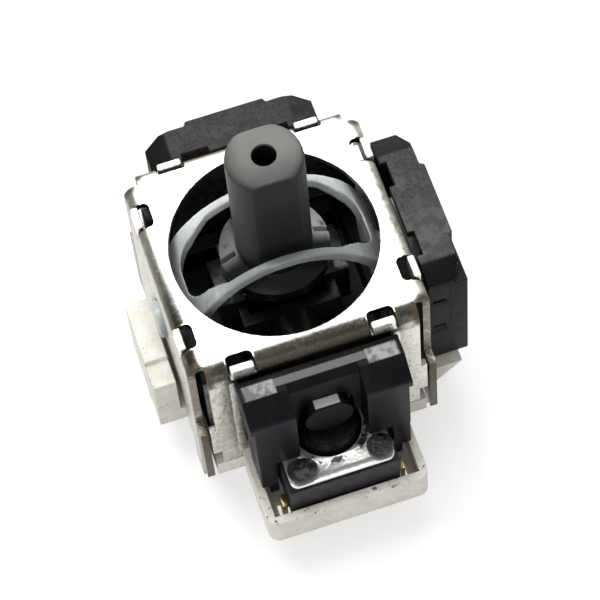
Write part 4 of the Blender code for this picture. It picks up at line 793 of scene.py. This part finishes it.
# Lower rocker and its pin: glossy black. Its cheeks' tops and the flat over the button carry grey painted
# highlights, and the arm's front end is painted darker as painted shade.
PUSH_FLAT_Z = 0.00788
PUSH_FLAT_Y = (-0.0083, -0.00785)
PUSH_FLAT_HALF = 0.00070
ROCKER_TONES = ((0.005, 0.005, 0.006), (0.010, 0.010, 0.012))
PUSH_FLAT_HIGHLIGHT_COLOR = (0.66, 0.67, 0.66)
ARM_TIP_SHADE_COLOR = (0.0035, 0.0035, 0.0040)
ARM_END_SHADE_COLOR = (0.0022, 0.0022, 0.0026)
CHEEK_HIGHLIGHT_COLOR = (0.26, 0.26, 0.25)

painted_light = finish_material("painted_light_black", ROCKER_TONES, cloud=900.0, grain=7000.0, grain_share=0.3,
                         roughness=0.30, specular=0.14)
tree = painted_light.node_tree
x, y, z = place_of(tree)
ax = absolute(tree, x)
# Painted highlight on the flat over the button.
push_flat = times(tree, share(tree, z, 0.00780, PUSH_FLAT_Z), within(tree, y, *PUSH_FLAT_Y, 0.00006),
                  share(tree, ax, PUSH_FLAT_HALF, 0.00062))
paint(painted_light, times(tree, push_flat, 0.95), PUSH_FLAT_HIGHLIGHT_COLOR)
# Painted shade on the arm's front tip.
paint(painted_light, share(tree, y, -0.0083, -0.00842), ARM_TIP_SHADE_COLOR)
# Painted shade on the arm's end below the flat, which is also rougher.
arm_end = share(tree, y, -0.0066, -0.0071)
set_gloss(painted_light, arm_end, 0.30, 0.62)
paint(painted_light, times(tree, arm_end, share(tree, z, 0.00776, 0.00772)), ARM_END_SHADE_COLOR)
# Painted highlight on the cheeks' tops.
cheek = times(tree, share(tree, z, 0.0086, 0.0088), share(tree, ax, 0.0027, 0.0029),
              share(tree, y, -0.0002, -0.0005), share(tree, noise(tree, 1800.0), 0.42, 0.60))
paint(painted_light, times(tree, cheek, 0.8), CHEEK_HIGHLIGHT_COLOR)
refine("lower_rocker", "rocker", "rocker", painted_light, 0.0001)
refine("rocker_pin", "pin", "rocker", bright, 0.00006)

# Stick: moulded in dark grey with a satin face and soft edges at its end. Its upper part and its left side
# are painted lighter as painted light, and its end face is painted lighter, partly its wear and partly
# painted light that grows toward the back. The collar at its foot is moulded darker, and glossier where the
# arch rubs on it, with painted highlights on its left and right, and the bore in its end is painted in shade.
STICK_BEND = 0.00036
STICK_TOP = 0.01975
RIM_MIN_RADIUS = 0.0012
COLLAR_TOP = 0.01125
BORE_HALF = 0.00075
STICK_TONES = ((0.009, 0.0095, 0.0105), (0.016, 0.0165, 0.0170))
UPPER_LIGHT_COLOR = (0.031, 0.0315, 0.032)
END_WEAR_AND_LIGHT_COLOR = (0.185, 0.186, 0.176)
SHAFT_SIDE_LIGHT_COLOR = (0.060, 0.060, 0.056)
COLLAR_COLOR = (0.004, 0.004, 0.005)
COLLAR_HIGHLIGHT_COLOR = (0.36, 0.37, 0.385)
BORE_SHADE_COLOR = (0.008, 0.008, 0.010)

grey = finish_material("grey_moulding", STICK_TONES, cloud=600.0, grain=8000.0, grain_share=0.3,
                       roughness=0.50, specular=0.12)
tree = grey.node_tree
x, y, z = place_of(tree)
ax, ay = absolute(tree, x), absolute(tree, y)
# Painted light: the upper shaft is painted lighter.
paint(grey, times(tree, share(tree, z, 0.0150, 0.0190), 0.5), UPPER_LIGHT_COLOR)
# The end face is painted lighter, partly its wear and partly painted light, brighter toward the back.
end_face = share(tree, z, 0.01948, STICK_TOP - 0.00001)
toward_light = scaled(tree, share(tree, y, -0.0016, 0.0004), 0.60, 0.40)
paint(grey, times(tree, end_face, toward_light), END_WEAR_AND_LIGHT_COLOR)
# Painted light on the shaft's left side.
shaft_side = times(tree, share(tree, x, -0.0008, -0.0019), share(tree, z, 0.0115, 0.0125))
paint(grey, times(tree, shaft_side, 0.7), SHAFT_SIDE_LIGHT_COLOR)
collar = share(tree, z, 0.01165, COLLAR_TOP)
paint(grey, collar, COLLAR_COLOR)
# Painted highlights on the collar's left and right, stronger on the right.
collar_highlight = times(tree, collar, share(tree, y, -0.0009, 0.0001), share(tree, ax, 0.0015, 0.0021),
               clouds(tree, 1400.0, 3.0, 0.6, 0.20, 0.50))
right_more = scaled(tree, share(tree, x, -0.0010, 0.0010), 0.6, 0.4)
paint(grey, times(tree, collar_highlight, right_more), COLLAR_HIGHLIGHT_COLOR)
# Painted shade inside the bore.
bore = times(tree, share(tree, z, 0.01970, 0.0194), share(tree, larger(tree, ax, ay), BORE_HALF, 0.00068))
paint(grey, bore, BORE_SHADE_COLOR)
set_gloss(grey, collar, 0.50, 0.22)


def at_rim(first, second):
    """Whether an edge bounds the shaft's end, outside the bore."""
    lowest = min(first.z, second.z)
    return lowest > STICK_TOP - 0.00002 and min(first.xy.length, second.xy.length) > RIM_MIN_RADIUS


def ease_end(piece):
    """The shaft's end is moulded with a soft edge all round."""
    round_edges(piece, at_rim, STICK_BEND, 5, True)


refine("stick", "shaft", "stick", grey, 0.00004, shape=ease_end)

# Two rotary sensors: charcoal housings with a mottled, slightly rough skin, each with a board, a
# white rotor that the arch or the rocker turns, a steel wiper and three terminals.
SENSOR_TOP = 0.01045
SLOPE_START = 0.0032
SLOT_LEVELS = (0.00470, 0.00764)
SLOT_HEIGHT = 0.00040
SLOT_SPAN = (0.00668, 0.00784)
SENSOR_EDGE = 0.00014
RIGHT_TONES = ((0.010, 0.0105, 0.012), (0.022, 0.0225, 0.025))
REAR_TONES = ((0.020, 0.021, 0.022), (0.040, 0.042, 0.044))
RIGHT_DUST_COLOR = (0.062, 0.066, 0.063)
REAR_DUST_COLOR = (0.048, 0.050, 0.051)
VEIN_COLOR = (0.022, 0.023, 0.024)
SHADE_COLOR = (0.0008, 0.0008, 0.001)
PIT_COLOR = (0.008, 0.008, 0.009)
FRONT_DUST_COLOR = (0.135, 0.142, 0.135)
NOTCH_SHADE_COLOR = (0.003, 0.003, 0.0035)
BOARD_TONES = ((0.14, 0.08, 0.04), (0.22, 0.13, 0.07))
BLOTCH_LIFT = 1.6


def sensor_material(name, tones, dust, end_axis):
    """Charcoal plastic: dusty and mottled on its flat top, bare on its sides, and darkest on the
    sloping end."""
    material = finish_material(name, tones, cloud=1700.0, grain=8500.0, grain_share=0.4, roughness=0.52,
                               bump=0.000014, specular=0.09)
    tree = material.node_tree
    place = place_of(tree)
    end, across, z = place[end_axis], place[1 - end_axis], place[2]
    flat = share(tree, z, SENSOR_TOP - 0.00010, SENSOR_TOP - 0.00002)
    paint(material, times(tree, flat, 0.9), dust)
    vein = times(tree, flat, within(tree, noise(tree, 1500.0, 5.0, 0.75), 0.49, 0.51, 0.025))
    paint(material, times(tree, vein, 0.75), VEIN_COLOR)
    blotch = times(tree, flat, clouds(tree, 900.0, 4.0, 0.7, 0.52, 0.66))
    paint(material, times(tree, blotch, 0.5), tuple(BLOTCH_LIFT * tone for tone in dust))
    slope = times(tree, within(tree, z, SENSOR_TOP - 0.00075, SENSOR_TOP - 0.00012, 0.00006),
                  share(tree, end, -SLOPE_START + 0.00004, -SLOPE_START - 0.00003))
    paint(material, slope, SHADE_COLOR)
    for level in SLOT_LEVELS:
        slot = times(tree, within(tree, z, level, level + SLOT_HEIGHT, 0.00005),
                     share(tree, end, -0.0039, -0.0040), within(tree, across, *SLOT_SPAN, 0.00004))
        paint(material, slot, SHADE_COLOR)
    pit = clouds(tree, 5200.0, 3.0, 0.7, 0.60, 0.66)
    paint(material, times(tree, pit, 0.6), PIT_COLOR)
    return material


board = finish_material("laminate", BOARD_TONES, cloud=900.0, grain=8000.0, grain_share=0.4, roughness=0.55)
x_skin = sensor_material("right_sensor_skin", RIGHT_TONES, RIGHT_DUST_COLOR, 1)
y_skin = sensor_material("rear_sensor_skin", REAR_TONES, REAR_DUST_COLOR, 0)
tree = x_skin.node_tree
x, y, z = place_of(tree)
top_front = times(tree, share(tree, z, SENSOR_TOP - 0.00010, SENSOR_TOP - 0.00002),
                  share(tree, y, 0.0012, -0.0016))
front_dust = times(tree, top_front, 0.45, clouds(tree, 1500.0, 5.0, 0.75, 0.40, 0.56))
paint(x_skin, front_dust, FRONT_DUST_COLOR)
# Painted shade: a near-black band high on the inner side, where a notch is.
notch = times(tree, share(tree, z, 0.01030, 0.01015), share(tree, x, 0.00700, 0.00692),
              within(tree, absolute(tree, y), 0.00140, 0.00300, 0.00005), share(tree, z, 0.0092, 0.0094))
paint(x_skin, notch, NOTCH_SHADE_COLOR)
for side, turning, skin in (("x", "arch", x_skin), ("y", "rear_rotor", y_skin)):
    refine(side + "_sensor_housing", side + "_housing", "housing", skin, SENSOR_EDGE, 3,
           split=True)
    refine(side + "_sensor_element", side + "_board", "housing", board, 0.0)
    refine(side + "_sensor_rotor", side + "_rotor", turning, milky, 0.00004)
    refine(side + "_sensor_wiper", side + "_wiper", turning, bright, 0.0)
    for number in range(1, 4):
        refine("%s_sensor_terminal_%d" % (side, number), "%s_terminal_%d" % (side, number), "housing",
               bright, 0.00003)

# Right sensor's case: its cover stands out below the top along the front end, with a small hooked
# catch behind it, and both are moulded with it in the same charcoal plastic.
CASE_DEPTH = 0.00110
CASE_BACK = -0.0021
CASE_TOP = SENSOR_TOP - 0.00085
CATCH_SIZE = (0.00042, 0.00085, 0.0030)
CATCH_BACK = -0.0012
CATCH_TOP = SENSOR_TOP - 0.0004
CASE_INSET = 0.00002

shell_low, shell_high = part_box("x_sensor_housing")
case_side = shell_high[0] - CASE_INSET
low = (shell_high[0] - CASE_DEPTH, shell_low[1] - CASE_INSET, shell_low[2])
high = (case_side, CASE_BACK, CASE_TOP)
block_between("x_case_front", low, high, 0.00010, 3, x_skin)
low = (shell_high[0] - CATCH_SIZE[0], CATCH_BACK - CATCH_SIZE[1], CATCH_TOP - CATCH_SIZE[2])
high = (case_side, CATCH_BACK, CATCH_TOP)
block_between("x_case_catch", low, high, 0.00012, 3, x_skin)
